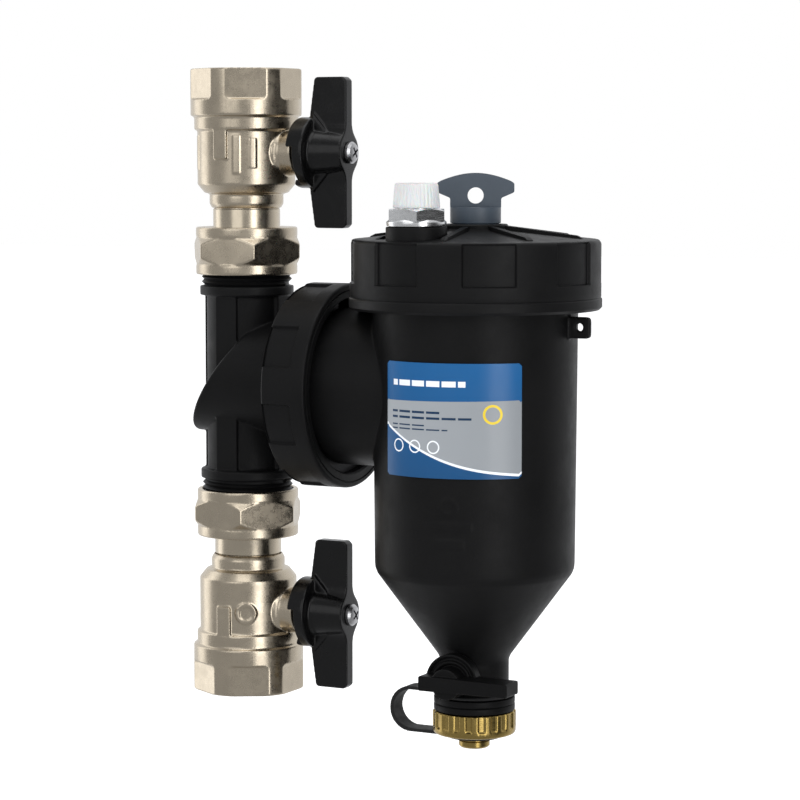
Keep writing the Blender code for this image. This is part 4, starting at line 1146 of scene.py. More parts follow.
    def seats(self) -> None:
        """The two ball seats, hollowed to the ball."""
        clear, lip, bore = 19.4 * MM, 15.7 * MM, 12.8 * MM
        radii = [lip + (bore - lip) * i / 8 for i in range(9)]
        face = [(r, math.sqrt(clear * clear - r * r)) for r in radii]
        outline = [(bore, 16.8 * MM), (17.5 * MM, 16.8 * MM), (17.5 * MM, face[0][1])] + face
        centre = self.matrix @ shifted((0, 0, self.stem_h))
        for end, turn in (("outer", LEVEL), ("inner", Facing.DOWN.value)):
            seat = lathe(self.node(end + "_seat_turned"), outline, centre @ turn, 72)
            hand_over(shaded(seat), self.side + "_valve", PTFE, self.node(end + "_seat"))


# ---- tee and ring nut ---------------------------------------------------------------------
@dataclass
class Tee:
    """Black threaded tee; heights are measured from the nozzle axis, both ways."""

    thread_r: float = 20.95 * MM
    thread_top: float = 58.4 * MM
    collar_r: float = 21.7 * MM
    collar_top: float = 44.7 * MM
    collar_low: float = 40.5 * MM
    tube_r: float = 18.6 * MM
    rib_r: float = 19.6 * MM
    rib_width: float = 11.0 * MM
    bore_r: float = 13.5 * MM
    hood_r: float = 26.5 * MM
    hood_h: float = 2.75 * MM
    slope: float = 1.4
    slope_h: float = 10.5 * MM
    ring_x: float = 34.0 * MM
    shoulder_x: float = 45.4 * MM
    side_collar_r: float = 42.2 * MM

    def build(self) -> None:
        """Build the body, its threads and the flow elbow."""
        matrix = standing(CROSSING)
        core_r = self.thread_r - 1.45 * MM
        half = [(0, self.thread_top), (core_r, self.thread_top), (core_r, self.collar_top),
                (self.collar_r, self.collar_top), (self.collar_r, self.collar_low),
                (self.tube_r, self.collar_low - 0.5 * MM)]
        outline = half + [(radius, -height) for radius, height in reversed(half)]
        body = lathe("tee_moulding", rounded(outline, 0.5 * MM, 2, False), LEVEL, 112)
        tools = []
        for k in range(4):
            spin = spun(k * math.pi / 2)
            tools.append(block(f"rib_{k}", (14 * MM, -self.rib_width / 2, -self.collar_low - 0.3 * MM),
                               (self.rib_r, self.rib_width / 2, self.collar_low + 0.3 * MM), spin))
        tools.append(self.hood())
        collar = rounded([(0, self.shoulder_x), (self.side_collar_r, self.shoulder_x),
                          (self.side_collar_r, self.ring_x + 0.3 * MM), (0, self.ring_x + 0.3 * MM)],
                         0.6 * MM, 2, False)
        tools.append(lathe("side_collar", collar, Facing.RIGHT.value, 112))
        fused(body, *tools)
        self.hollow(body)
        cast(body, 0.45 * MM, 2, 0.30)
        body.data.transform(matrix)
        hand_over(shaded(body, 45), "tee", NYLON, "tee_body")
        self.threads(matrix)
        self.elbow(matrix)

    def hood(self) -> Piece:
        """Slanted hood over the side outlet, with a rolled edge."""
        hood = lathe("hood", [(0, self.ring_x + 2 * MM), (self.hood_r, self.ring_x + 2 * MM),
                              (self.hood_r, -34 * MM), (0, -34 * MM)],
                     shifted((0, 0, self.hood_h)) @ Facing.RIGHT.value, 112)
        left, right = -60 * MM, 40 * MM
        wedge = [(left, self.slope * left + self.slope_h), (right, self.slope * right + self.slope_h),
                 (left, self.slope * right + self.slope_h)]
        carved(hood, slab("wedge", wedge, 90 * MM, Facing.FRONT.value))
        bevel = hood.modifiers.new("rolled_edge", "BEVEL")
        bevel.width = 1.1 * MM
        bevel.segments = 3
        bevel.limit_method = "ANGLE"
        bevel.angle_limit = math.radians(28)
        return evaluated(hood)

    def hollow(self, body: Piece) -> None:
        """Bore the pipe way, the flow chamber and the nozzle socket."""
        bore = lathe("pipe_way",
                     [(0, 70 * MM), (self.bore_r, 70 * MM), (self.bore_r, -70 * MM), (0, -70 * MM)], LEVEL,
                     72)
        chamber = lathe("chamber", in_mm((0, 60), (15.5, 60), (15.5, -6), (0, -6)),
                        Facing.RIGHT.value, 72)
        socket = lathe("socket", in_mm((0, 60), (34.0, 60), (34.0, 38.0), (0, 38.0)),
                       Facing.RIGHT.value, 96)
        carved(body, bore, chamber, socket)

    def threads(self, matrix: Matrix) -> None:
        """Male threads at both ends."""
        pitch, turns = PIPE_PITCH, 5.0
        for name, turn in (("tee_thread_upper", Facing.UP), ("tee_thread_lower", Facing.DOWN)):
            start = matrix @ turn.value @ shifted((0, 0, self.collar_top + 0.9 * MM))
            thread = Patterns.thread(name, self.thread_r - 1.2 * MM, pitch, turns, NYLON_FINE, start,
                                     1.2 * MM)
            hand_over(thread, "tee", NYLON_FINE, slot="black_nylon")

    def elbow(self, matrix: Matrix) -> None:
        """Elbow that carries the cleaned water to the lower port."""
        end_x = CANISTER.x - 24.6 * MM
        elbow = lathe("flow_elbow", [(0, end_x), (12 * MM, end_x), (12 * MM, -5 * MM), (0, -5 * MM)],
                      Facing.RIGHT.value, 64)
        stub = lathe("stub", in_mm((0, 0), (12, 0), (12, -34), (0, -34)), LEVEL, 64)
        fused(elbow, stub)
        bore = lathe("bore",
                     [(0, end_x + PAST), (10.5 * MM, end_x + PAST), (10.5 * MM, -3.4 * MM), (0, -3.4 * MM)],
                     Facing.RIGHT.value, 64)
        down = lathe("down", in_mm((0, 0), (10.5, 0), (10.5, -40), (0, -40)), LEVEL, 64)
        carved(elbow, bore, down)
        elbow.data.transform(matrix)
        hand_over(shaded(elbow), "tee", NYLON_FINE, "flow_diverter")


@dataclass
class Grip:
    """Even recesses round a nut or a lid."""

    count: int
    first: float
    span: float
    depth: float
    low: float
    high: float
    floor_r: float
    edge: float = 0.35 * MM

    def turns(self, steps: int) -> list[float]:
        """Return angles round the piece, packed close at the recesses' sides."""
        angles = [TAU * i / steps for i in range(steps)]
        for k in range(self.count):
            middle = self.first + TAU * k / self.count
            for side in (-1, 1):
                rim = middle + side * self.span / 2
                close = self.edge / self.floor_r
                angles = [a for a in angles if abs(math.remainder(a - rim, TAU)) > 1.6 * close]
                angles += [(rim + step * close) % TAU for step in (-1.0, -0.5, 0.0, 0.5, 1.0)]
        return sorted(angles)

    def relief(self, angle: float, radius: float, height: float) -> float:
        """Return how far the surface is pushed in at a point."""
        if radius < self.floor_r:
            return 0.0
        step = TAU / self.count
        off = abs(math.remainder(angle - self.first, step)) * radius
        side = 1.0 - smooth_step(self.span / 2 * radius - self.edge, self.span / 2 * radius + self.edge, off)
        along = smooth_step(self.low - self.edge, self.low + self.edge, height)
        along *= 1.0 - smooth_step(self.high - self.edge, self.high + self.edge, height)
        return -self.depth * side * along


def close_rows(start: float, end: float, marks: Sequence[float], edge: float) -> list[float]:
    """Return heights between two ends, packed close at the marks, from start to end."""
    low, high = min(start, end), max(start, end)
    rows = [low + (high - low) * i / 10 for i in range(11)]
    for mark in marks:
        rows = [row for row in rows if abs(row - mark) > 1.6 * edge or row in (low, high)]
        rows += [mark + step * edge for step in (-1.0, -0.5, 0.0, 0.5, 1.0)
                 if low < mark + step * edge < high]
    return sorted(rows, reverse=start > end)


@dataclass
class RingNut:
    """Large gripped nut round the nozzle; its own height runs along +X from the pipe axis."""

    left: float = 34.0 * MM
    right: float = 56.0 * MM
    radius: float = 46.75 * MM
    bore_r: float = 42.5 * MM
    lip_r: float = 40.0 * MM
    lip_x: float = 52.3 * MM
    recess_x: float = 48.6 * MM

    def build(self) -> None:
        """Turn the nut with its recesses."""
        grip = Grip(8, math.pi - math.radians(25.8) + math.pi / 2, math.radians(24), 1.2 * MM,
                    self.left - 5 * MM, self.recess_x, self.radius - 0.6 * MM)
        soft = 1.3 * MM
        corner_high = [(self.radius - soft + soft * math.sin(a), self.right - soft + soft * math.cos(a))
                       for a in (math.pi / 2 * i / 5 for i in range(6))]
        corner_low = [(self.radius - soft + soft * math.cos(a), self.left + soft - soft * math.sin(a))
                      for a in (math.pi / 2 * i / 5 for i in range(6))]
        wall = [(self.radius, x)
                for x in close_rows(self.right - soft, self.left + soft, (self.recess_x,), grip.edge)[1:-1]]
        inner = [(self.bore_r, self.left), (self.bore_r, self.lip_x), (self.lip_r, self.lip_x),
                 (self.lip_r, self.right - 0.8 * MM), (self.lip_r + 0.8 * MM, self.right),
                 (self.radius - 3.1 * MM, self.right), (self.radius - 2.9 * MM, self.right - 0.5 * MM),
                 (self.radius - 2.5 * MM, self.right - 0.5 * MM), (self.radius - 2.3 * MM, self.right)]
        outline = corner_high + wall + corner_low + inner
        nut = lathe("ring_nut_moulded", outline, standing(CROSSING, Facing.RIGHT), relief=grip.relief,
                    turns=grip.turns(144))
        hand_over(shaded(nut, 35), "ring_nut", NYLON, "ring_nut")


# ---- canister -----------------------------------------------------------------------------
@dataclass
class Canister:
    """Filter canister, with its nozzle towards the pipe; heights from the nozzle axis."""

    top_r: float = 45.8 * MM
    low_r: float = 44.8 * MM
    bore_r: float = 42.2 * MM
    thread_r: float = 50.0 * MM
    top_h: float = 60.0 * MM
    cone_top: float = -80.4 * MM
    cone_low: float = -119.7 * MM
    neck_r: float = 15.5 * MM
    neck_low: float = -141.0 * MM
    nozzle_r: float = 36.0 * MM
    drain_h: float = -128.0 * MM
    label_turn: float = math.radians(-79)
    label_span: float = math.radians(81.5)

    def build(self) -> None:
        """Build the shell and what stays fixed to it."""
        self.shell()
        self.label()
        self.outlet()
        self.cage()
        self.small_rings()
        Strap().build()

    def shell(self) -> None:
        """Moulded shell: neck, wall, cone, outlet neck, nozzle, seal lug and drain boss."""
        flow = 2.2 * MM
        slope = Vector((self.neck_r - self.low_r, self.cone_low - self.cone_top)).normalized()
        outline = [(0, self.top_h), (self.thread_r - 0.6 * MM, self.top_h),
                   (self.thread_r, self.top_h - 0.6 * MM), (self.thread_r, 40.0 * MM),
                   (self.top_r + 1.2 * MM, 38.6 * MM), (self.top_r, 36.4 * MM),
                   (self.low_r + 0.05 * MM, self.cone_top + 4.0 * MM),
                   (self.low_r - 0.1 * MM, self.cone_top + 1.6 * MM),
                   (self.low_r - 1.0 * MM, self.cone_top - 0.9 * MM),
                   (self.neck_r - slope.x * flow, self.cone_low - slope.y * flow),
                   (self.neck_r + 0.4 * MM, self.cone_low + 0.1 * MM),
                   (self.neck_r, self.cone_low - flow * 0.5), (self.neck_r, self.neck_low),
                   (0, self.neck_low)]
        shell = lathe("canister_moulding", rounded(outline, 3.0 * MM, 3, False),
                      shifted((CANISTER.x, 0, 0)), 128)
        nozzle_outline = [(0, CANISTER.x - 12 * MM), (self.nozzle_r, CANISTER.x - 12 * MM),
                          (self.nozzle_r, 52.3 * MM), (35.2 * MM, 52.3 * MM), (35.2 * MM, 49.7 * MM),
                          (self.nozzle_r, 49.7 * MM), (self.nozzle_r, 46.0 * MM), (33.7 * MM, 46.0 * MM),
                          (33.7 * MM, 43.8 * MM), (31.2 * MM, 43.8 * MM), (31.2 * MM, 40.6 * MM),
                          (33.7 * MM, 40.6 * MM), (33.7 * MM, 38.3 * MM), (0, 38.3 * MM)]
        nozzle = lathe("nozzle", nozzle_outline, Facing.RIGHT.value, 112)
        boss = lathe("drain_boss", in_mm((0, 15.9), (6.3, 15.9), (7.0, 15.2), (7.0, 5), (0, 5)),
                     shifted((CANISTER.x, 0, self.drain_h)) @ Facing.FRONT.value, 48)
        fused(shell, nozzle, self.lug(), boss, *self.emboss())
        self.hollow(shell)
        cast(shell, 0.62 * MM, 3, 0.24)
        shell.data.transform(shifted((0, 0, NOZZLE_Z)))
        hand_over(shaded(shell, 50), "canister", NYLON, "canister_shell")

    def lug(self) -> Piece:
        """Lug for a seal wire, with its eye."""
        corners = in_mm((43, 34.5), (43, 22.5), (46, 25), (56, 25), (56, 34.5))
        centre = shifted((CANISTER.x, 0, 0))
        lug = slab("lug", rounded(list(reversed(corners)), 2.0 * MM, 3), 3 * MM, centre @ Facing.FRONT.value)
        eye = lathe("eye", in_mm((0, 5), (1.8, 5), (1.8, -5), (0, -5)),
                    shifted((CANISTER.x + 51 * MM, 0, 30 * MM)) @ Facing.FRONT.value, 24)
        return carved(lug, eye)

    def emboss(self) -> list[Piece]:
        """Plain moulded ring and two blank bars below the label."""
        made = []
        out = self.low_r - 1.0 * MM
        turn = shifted((CANISTER.x, 0, 0)) @ spun(self.label_turn)
        ring = [(2.6 * MM, out), (2.6 * MM, out + 1.55 * MM), (4.0 * MM, out + 1.55 * MM), (4.0 * MM, out)]
        made.append(lathe("moulded_ring", list(reversed(ring)),
                          turn @ shifted((0, 0, -47 * MM)) @ Facing.RIGHT.value, 36))
        for height, half in ((-55.5 * MM, 13.0), (-63.0 * MM, 8.5)):
            bar = ring_slice(out, self.low_r + 0.45 * MM, self.label_turn, math.radians(2 * half), 16)
            made.append(slab("moulded_bar", bar, 3.6 * MM, shifted((CANISTER.x, 0, height))))
        return made

    def hollow(self, shell: Piece) -> None:
        """Cut the chamber, the nozzle way and the drain's stem hole."""
        floor_h = -113.5 * MM
        chamber = [(0, self.top_h + PAST), (self.bore_r, self.top_h + PAST),
                   (self.bore_r, self.cone_top + 2 * MM), (10.5 * MM, floor_h), (6.5 * MM, floor_h),
                   (6.5 * MM, -116.8 * MM), (9.5 * MM, -116.8 * MM), (9.5 * MM, self.neck_low - PAST),
                   (0, self.neck_low - PAST)]
        tools = [lathe("chamber", chamber, shifted((CANISTER.x, 0, 0)), 112),
                 lathe("nozzle_way",
                       [(0, CANISTER.x), (28 * MM, CANISTER.x), (28 * MM, 30 * MM), (0, 30 * MM)],
                       Facing.RIGHT.value, 96),
                 lathe("stem_way",
                       in_mm((0, 32.5), (5.5, 32.5), (5.5, 12.5), (3.5, 12.5), (3.5, 2), (0, 2)),
                       shifted((CANISTER.x, 0, self.drain_h)) @ Facing.FRONT.value, 40)]
        carved(shell, *tools)

    def label(self) -> None:
        """Curved film with its print laid out on its own map."""
        columns, high, low = 48, 15.6 * MM, -34.4 * MM
        inner, outer, corner = 46.0 * MM, 46.3 * MM, 1.2 * MM
        bm = bmesh.new()
        layer = bm.loops.layers.uv.new("print")
        grid: dict[tuple[int, int, int], bmesh.types.BMVert] = {}
        half = self.label_span / 2
        for side, radius in enumerate((inner, outer)):
            for i in range(columns + 1):
                off = -half + self.label_span * i / columns
                rim = (half - abs(off)) * outer
                pull = corner - math.sqrt(max(0.0, corner ** 2 - (corner - min(corner, rim)) ** 2))
                for k, height in enumerate((low + pull, high - pull)):
                    angle = self.label_turn + off
                    grid[side, i, k] = bm.verts.new((radius * math.cos(angle), radius * math.sin(angle),
                                                     height))
        for i in range(columns):
            quads = [((1, i, 0), (1, i + 1, 0), (1, i + 1, 1), (1, i, 1)),
                     ((0, i, 1), (0, i + 1, 1), (0, i + 1, 0), (0, i, 0)),
                     ((1, i, 1), (1, i + 1, 1), (0, i + 1, 1), (0, i, 1)),
                     ((0, i, 0), (0, i + 1, 0), (1, i + 1, 0), (1, i, 0))]
            for keys in quads:
                face = bm.faces.new([grid[key] for key in keys])
                for loop, key in zip(face.loops, keys):
                    loop[layer].uv = (key[1] / columns, key[2])
        for i in (0, columns):
            bm.faces.new([grid[key] for key in ((1, i, 0), (1, i, 1), (0, i, 1), (0, i, 0))])
        label = to_object("label_film", bm, shifted(CANISTER))
        hand_over(shaded(label, 40), "canister", LABEL, "label_plate")

    def outlet(self) -> None:
        """Threaded outlet below the drain cock, with its collar."""
        matrix = standing(CANISTER)
        outline = in_mm((6.0, -136.9), (9.2, -136.9), (9.2, -141.3), (15.8, -141.3),
            (15.8, -137.6), (18.3, -137.6), (18.3, -140.2), (17.7, -140.6),
            (18.3, -141.0), (18.3, -143.6), (14.9, -143.6), (14.9, -150.4),
            (6.0, -150.4))
        outlet = lathe("outlet_moulding", rounded(outline, 0.35 * MM, 2), matrix, 96)
        hand_over(shaded(outlet), "canister", NYLON_FINE, "drain_outlet")
        start = matrix @ shifted((0, 0, -149.6 * MM))
        thread = Patterns.thread("outlet_thread", 14.9 * MM, 1.814 * MM, 2.8, NYLON_FINE, start, 0.6 * MM)
        hand_over(thread, "canister", NYLON_FINE, slot="black_nylon")

    def cage(self) -> None:
        """Strainer drum: end rings, four posts and perforated plates between them."""
        outer, inner, hole = 24.0 * MM, 22.5 * MM, 12.5 * MM
        top, low, wall = 42.0 * MM, -60.0 * MM, 1.5 * MM
        outline = [(hole, top), (outer, top), (outer, low), (hole, low), (hole, low + wall),
                   (inner, low + wall), (inner, top - wall), (hole, top - wall)]
        cage = lathe("cage_frame", outline, standing(CANISTER), 96)
        tools = [lathe("cage_eye", in_mm((0, -15), (10.5, -15), (10.5, -30), (0, -30)),
                       standing(CANISTER, Facing.RIGHT), 48)]
        for k in range(4):
            window = ring_slice(20 * MM, 27 * MM, math.radians(-135 + 90 * k), math.radians(44), 12)
            tools.append(slab("window", window, 84 * MM,
                              standing(CANISTER + Vector((0, 0, (top + low) / 2)))))
        carved(cage, *tools)
        hand_over(shaded(cage), "canister", STEEL, "filter_cage")
        self.mesh_wires(top - 9 * MM, low + 9 * MM)

    def mesh_wires(self, top: float, low: float) -> None:
        """Hoops and uprights of the strainer's mesh, repeated by geometry nodes."""
        radius, wire = 23.2 * MM, 0.35 * MM
        section = [(radius + wire * math.cos(TAU * i / 6), wire * math.sin(TAU * i / 6)) for i in range(6)]
        hoop = lathe("mesh_hoops", list(reversed(section)), LEVEL, 60)
        rows = 28
        pitch = (top - low) / rows
        Patterns.around(hoop, 1, STEEL, standing(CANISTER + Vector((0, 0, low))), rows + 1, pitch)
        hand_over(shaded(hoop, 60), "canister", STEEL, slot="steel")
        post = lathe("mesh_uprights", [(0, top), (wire, top), (wire, low), (0, low)],
                     shifted((radius, 0, 0)), 6)
        Patterns.around(post, 48, STEEL, standing(CANISTER))
        hand_over(shaded(post, 60), "canister", STEEL, slot="steel")

    def small_rings(self) -> None:
        """Snap ring, seals and the drain's seats."""
        nozzle = standing(CROSSING, Facing.RIGHT)
        fine_o_ring("nozzle_o_ring", "canister", nozzle)
        gap = math.radians(20)
        ring = in_mm((35.5, 0.95), (41.5, 0.95), (41.5, -0.95), (35.5, -0.95))
        outline = ring_slice(ring[0][0], ring[1][0], 0.0, TAU - gap, 120)
        # The snap ring is painted near-black: painted shade where it shows in the gap under the ring nut's lip.
        snap = slab("snap_ring_spring", outline, 1.9 * MM, nozzle @ shifted((0, 0, 51.0 * MM)), 0.25 * MM)
        hand_over(shaded(snap), "canister", SNAP_RING_SHADE, "snap_ring")
        drain = standing(DRAIN)
        fine_ring("drain_upper_seat", "canister", PTFE, drain)
        fine_ring("drain_lower_seat", "canister", PTFE, drain)
        fine_o_ring("drain_stem_o_ring", "canister", standing(DRAIN, Facing.FRONT))


@dataclass
class Strap:
    """Rubber strap that keeps the drain cap: an eye round the neck, a loop, an eye round the stub."""

    width: float = 10 * MM
    thick: float = 1.6 * MM
    top_h: float = -136.3 * MM
    low_h: float = -155.5 * MM
    reach: float = -40.5 * MM

    def build(self) -> None:
        """Build the strap as one rubber moulding."""
        loop_r = (self.top_h - self.low_h) / 2
        middle = (self.reach + loop_r + self.thick / 2, (self.top_h + self.low_h) / 2)
        half = self.thick / 2
        outer = [(middle[0] + (loop_r + half) * math.cos(a), middle[1] + (loop_r + half) * math.sin(a))
                 for a in (math.pi / 2 + math.pi * i / 28 for i in range(29))]
        inner = [(middle[0] + (loop_r - half) * math.cos(a), middle[1] + (loop_r - half) * math.sin(a))
                 for a in (math.pi * 1.5 - math.pi * i / 28 for i in range(29))]
        outline = ([(-17 * MM, self.top_h + half)] + outer
                   + [(-9 * MM, self.low_h - half), (-9 * MM, self.low_h + half)] + inner
                   + [(-17 * MM, self.top_h - half)])
        band = slab("strap_band", outline, self.width, Facing.FRONT.value, 0.35 * MM)
        eyes = []
        for name, bore, radius, height in (("eye_upper", 15.8 * MM, 18.3 * MM, self.top_h),
                                           ("eye_lower", 7.3 * MM, 12.5 * MM, self.low_h)):
            section = [(bore, height + 0.75 * MM), (radius, height + 0.75 * MM),
                       (radius, height - 0.75 * MM), (bore, height - 0.75 * MM)]
            eyes.append(lathe(name, rounded(section, 0.3 * MM, 2), LEVEL, 72))
        fused(band, *eyes)
        finer = band.modifiers.new("finer", "REMESH")
        finer.mode = "VOXEL"
        finer.voxel_size = 0.45 * MM
        soften = band.modifiers.new("soften", "SMOOTH")
        soften.factor = 0.4
        soften.iterations = 2
        evaluated(band)
        band.data.transform(standing(CANISTER))
        band.name = "cap_strap_moulding"
        band.data.materials.append(RUBBER.material())
        shaded(band, 60)
        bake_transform(band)
        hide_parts("cap_strap")
        LOG.info("%s joins canister and drain_seal", band.name)


# ---- drain --------------------------------------------------------------------------------
@dataclass
class DrainCock:
    """Quarter-turn drain: ball, stem, one-sided lever, and the cap with its gasket."""

    bar_half: float = 3.35 * MM
    core_r: float = 7.0 * MM
    disc_r: float = 12.6 * MM
    disc_back: float = 18.9 * MM
    disc_front: float = 23.9 * MM
    bar_back: float = 19.6 * MM
    bar_front: float = 32.0 * MM
    bar_left: float = -12.4 * MM
    bar_right: float = 31.0 * MM
    cap_r: float = 18.7 * MM
    cap_top: float = -143.9 * MM
    cap_low: float = -154.4 * MM

    def build(self) -> None:
        """Build the lever, the inner parts and the cap."""
        self.lever()
        self.ball_and_stem()
        fine_ring("drain_gasket", "drain_seal", RUBBER, standing(CANISTER))
        self.cap()

    def lever(self) -> None:
        """Moulded lever: a soft-edged bar, a ridged half disc above it and the core behind."""
        front = Facing.FRONT.value
        core = rounded([(0, 30 * MM), (self.core_r, 30 * MM), (self.core_r, 16.3 * MM), (0, 16.3 * MM)],
                       0.6 * MM, 2, False)
        lever = lathe("lever_moulding", core, front, 64)
        taper = 0.35 * MM
        bar = [(self.bar_left, -self.bar_half), (self.bar_right, -self.bar_half + taper),
               (self.bar_right, self.bar_half - taper), (self.bar_left, self.bar_half)]
        depth = self.bar_front - self.bar_back
        place = shifted((0, -(self.bar_front + self.bar_back) / 2, 0)) @ front
        tools = [slab("bar", rounded(bar, 0.9 * MM, 3), depth, place, 0.8 * MM, 3)]
        fan_depth = self.disc_front - self.disc_back
        fan = [(self.disc_r * math.cos(math.pi * i / 40), self.disc_r * math.sin(math.pi * i / 40))
               for i in range(41)]
        tools.append(slab("fan", fan, fan_depth - 1.4 * MM,
                          shifted((0, -self.disc_back - (fan_depth - 1.4 * MM) / 2, 0)) @ front))
        for outer in (12.6 * MM, 9.6 * MM):
            ridge = ring_slice(outer - 1.3 * MM, outer + 0.02 * MM, math.pi / 2, math.pi * 1.02, 40)
            tools.append(slab("ridge", ridge, fan_depth - 0.6 * MM,
                              shifted((0, -self.disc_front + (fan_depth - 0.6 * MM) / 2, 0)) @ front))
        fused(lever, *tools)
        eye = lathe("eye", in_mm((0, 26.5), (3.5, 26.5), (3.5, 10), (0, 10)), front, 32)
        carved(lever, eye)
        cast(lever, 0.32 * MM, 2, 0.30)
        lever.data.transform(standing(DRAIN))
        hand_over(shaded(lever, 55), "drain_lever", NYLON_FINE, "drain_lever", slot=SLOT_OF["drain_lever"])

    def ball_and_stem(self) -> None:
        """Small ball with its port and stem slot."""
        ball = lathe("drain_ball_polished", ball_profile(8.0 * MM, 32), LEVEL, 56)
        port = lathe("port", in_mm((0, 12), (5, 12), (5, -12), (0, -12)), Facing.RIGHT.value, 40)
        slot = block("slot", (-4 * MM, -10 * MM, -1.8 * MM), (4 * MM, -6.3 * MM, 1.8 * MM), LEVEL)
        carved(ball, port, slot)
        ball.data.transform(standing(DRAIN))
        hand_over(shaded(ball), "drain_lever", CHROME, "drain_ball")

    def cap(self) -> None:
        """Turned brass cap with flutes round its upper part and a stub below."""
        flutes, depth, run_out = 20, 0.75 * MM, self.cap_low + 2.7 * MM

        def relief(angle: float, radius: float, height: float) -> float:
            """Scallop the rim; the flutes stop above a plain band."""
            if radius < self.cap_r - 1.6 * MM or height < run_out:
                return 0.0
            wave = 0.5 + 0.5 * math.cos(flutes * angle)
            fade = smooth_step(run_out, run_out + 0.9 * MM, height)
            return -depth * fade * smooth_step(0.35, 0.75, wave)

        rows = [self.cap_top - 0.6 * MM - 0.55 * MM * i for i in range(14)]
        wall = [(self.cap_r, height) for height in rows if height > self.cap_low + 1.6 * MM]
        outline = ([(0, -152.3 * MM), (15.8 * MM, -152.3 * MM), (15.8 * MM, self.cap_top),
                    (self.cap_r - 0.9 * MM, self.cap_top),
                    (self.cap_r - 0.25 * MM, self.cap_top - 0.25 * MM)] + wall
                   + [(self.cap_r, self.cap_low + 1.2 * MM),
                      (self.cap_r - 0.4 * MM, self.cap_low + 0.4 * MM),
                      (self.cap_r - 1.1 * MM, self.cap_low), (8.0 * MM, self.cap_low),
                      (7.0 * MM, self.cap_low - 0.6 * MM), (7.0 * MM, -157.6 * MM), (6.7 * MM, -157.9 * MM),
                      (7.0 * MM, -158.2 * MM), (7.0 * MM, -160.2 * MM), (6.2 * MM, -161.0 * MM),
                      (0, -161.0 * MM)])
        cap = lathe("drain_cap_turned", outline, standing(CANISTER), 240, relief)
        hand_over(shaded(cap, 35), "drain_cap", RAW_BRASS, "drain_cap")


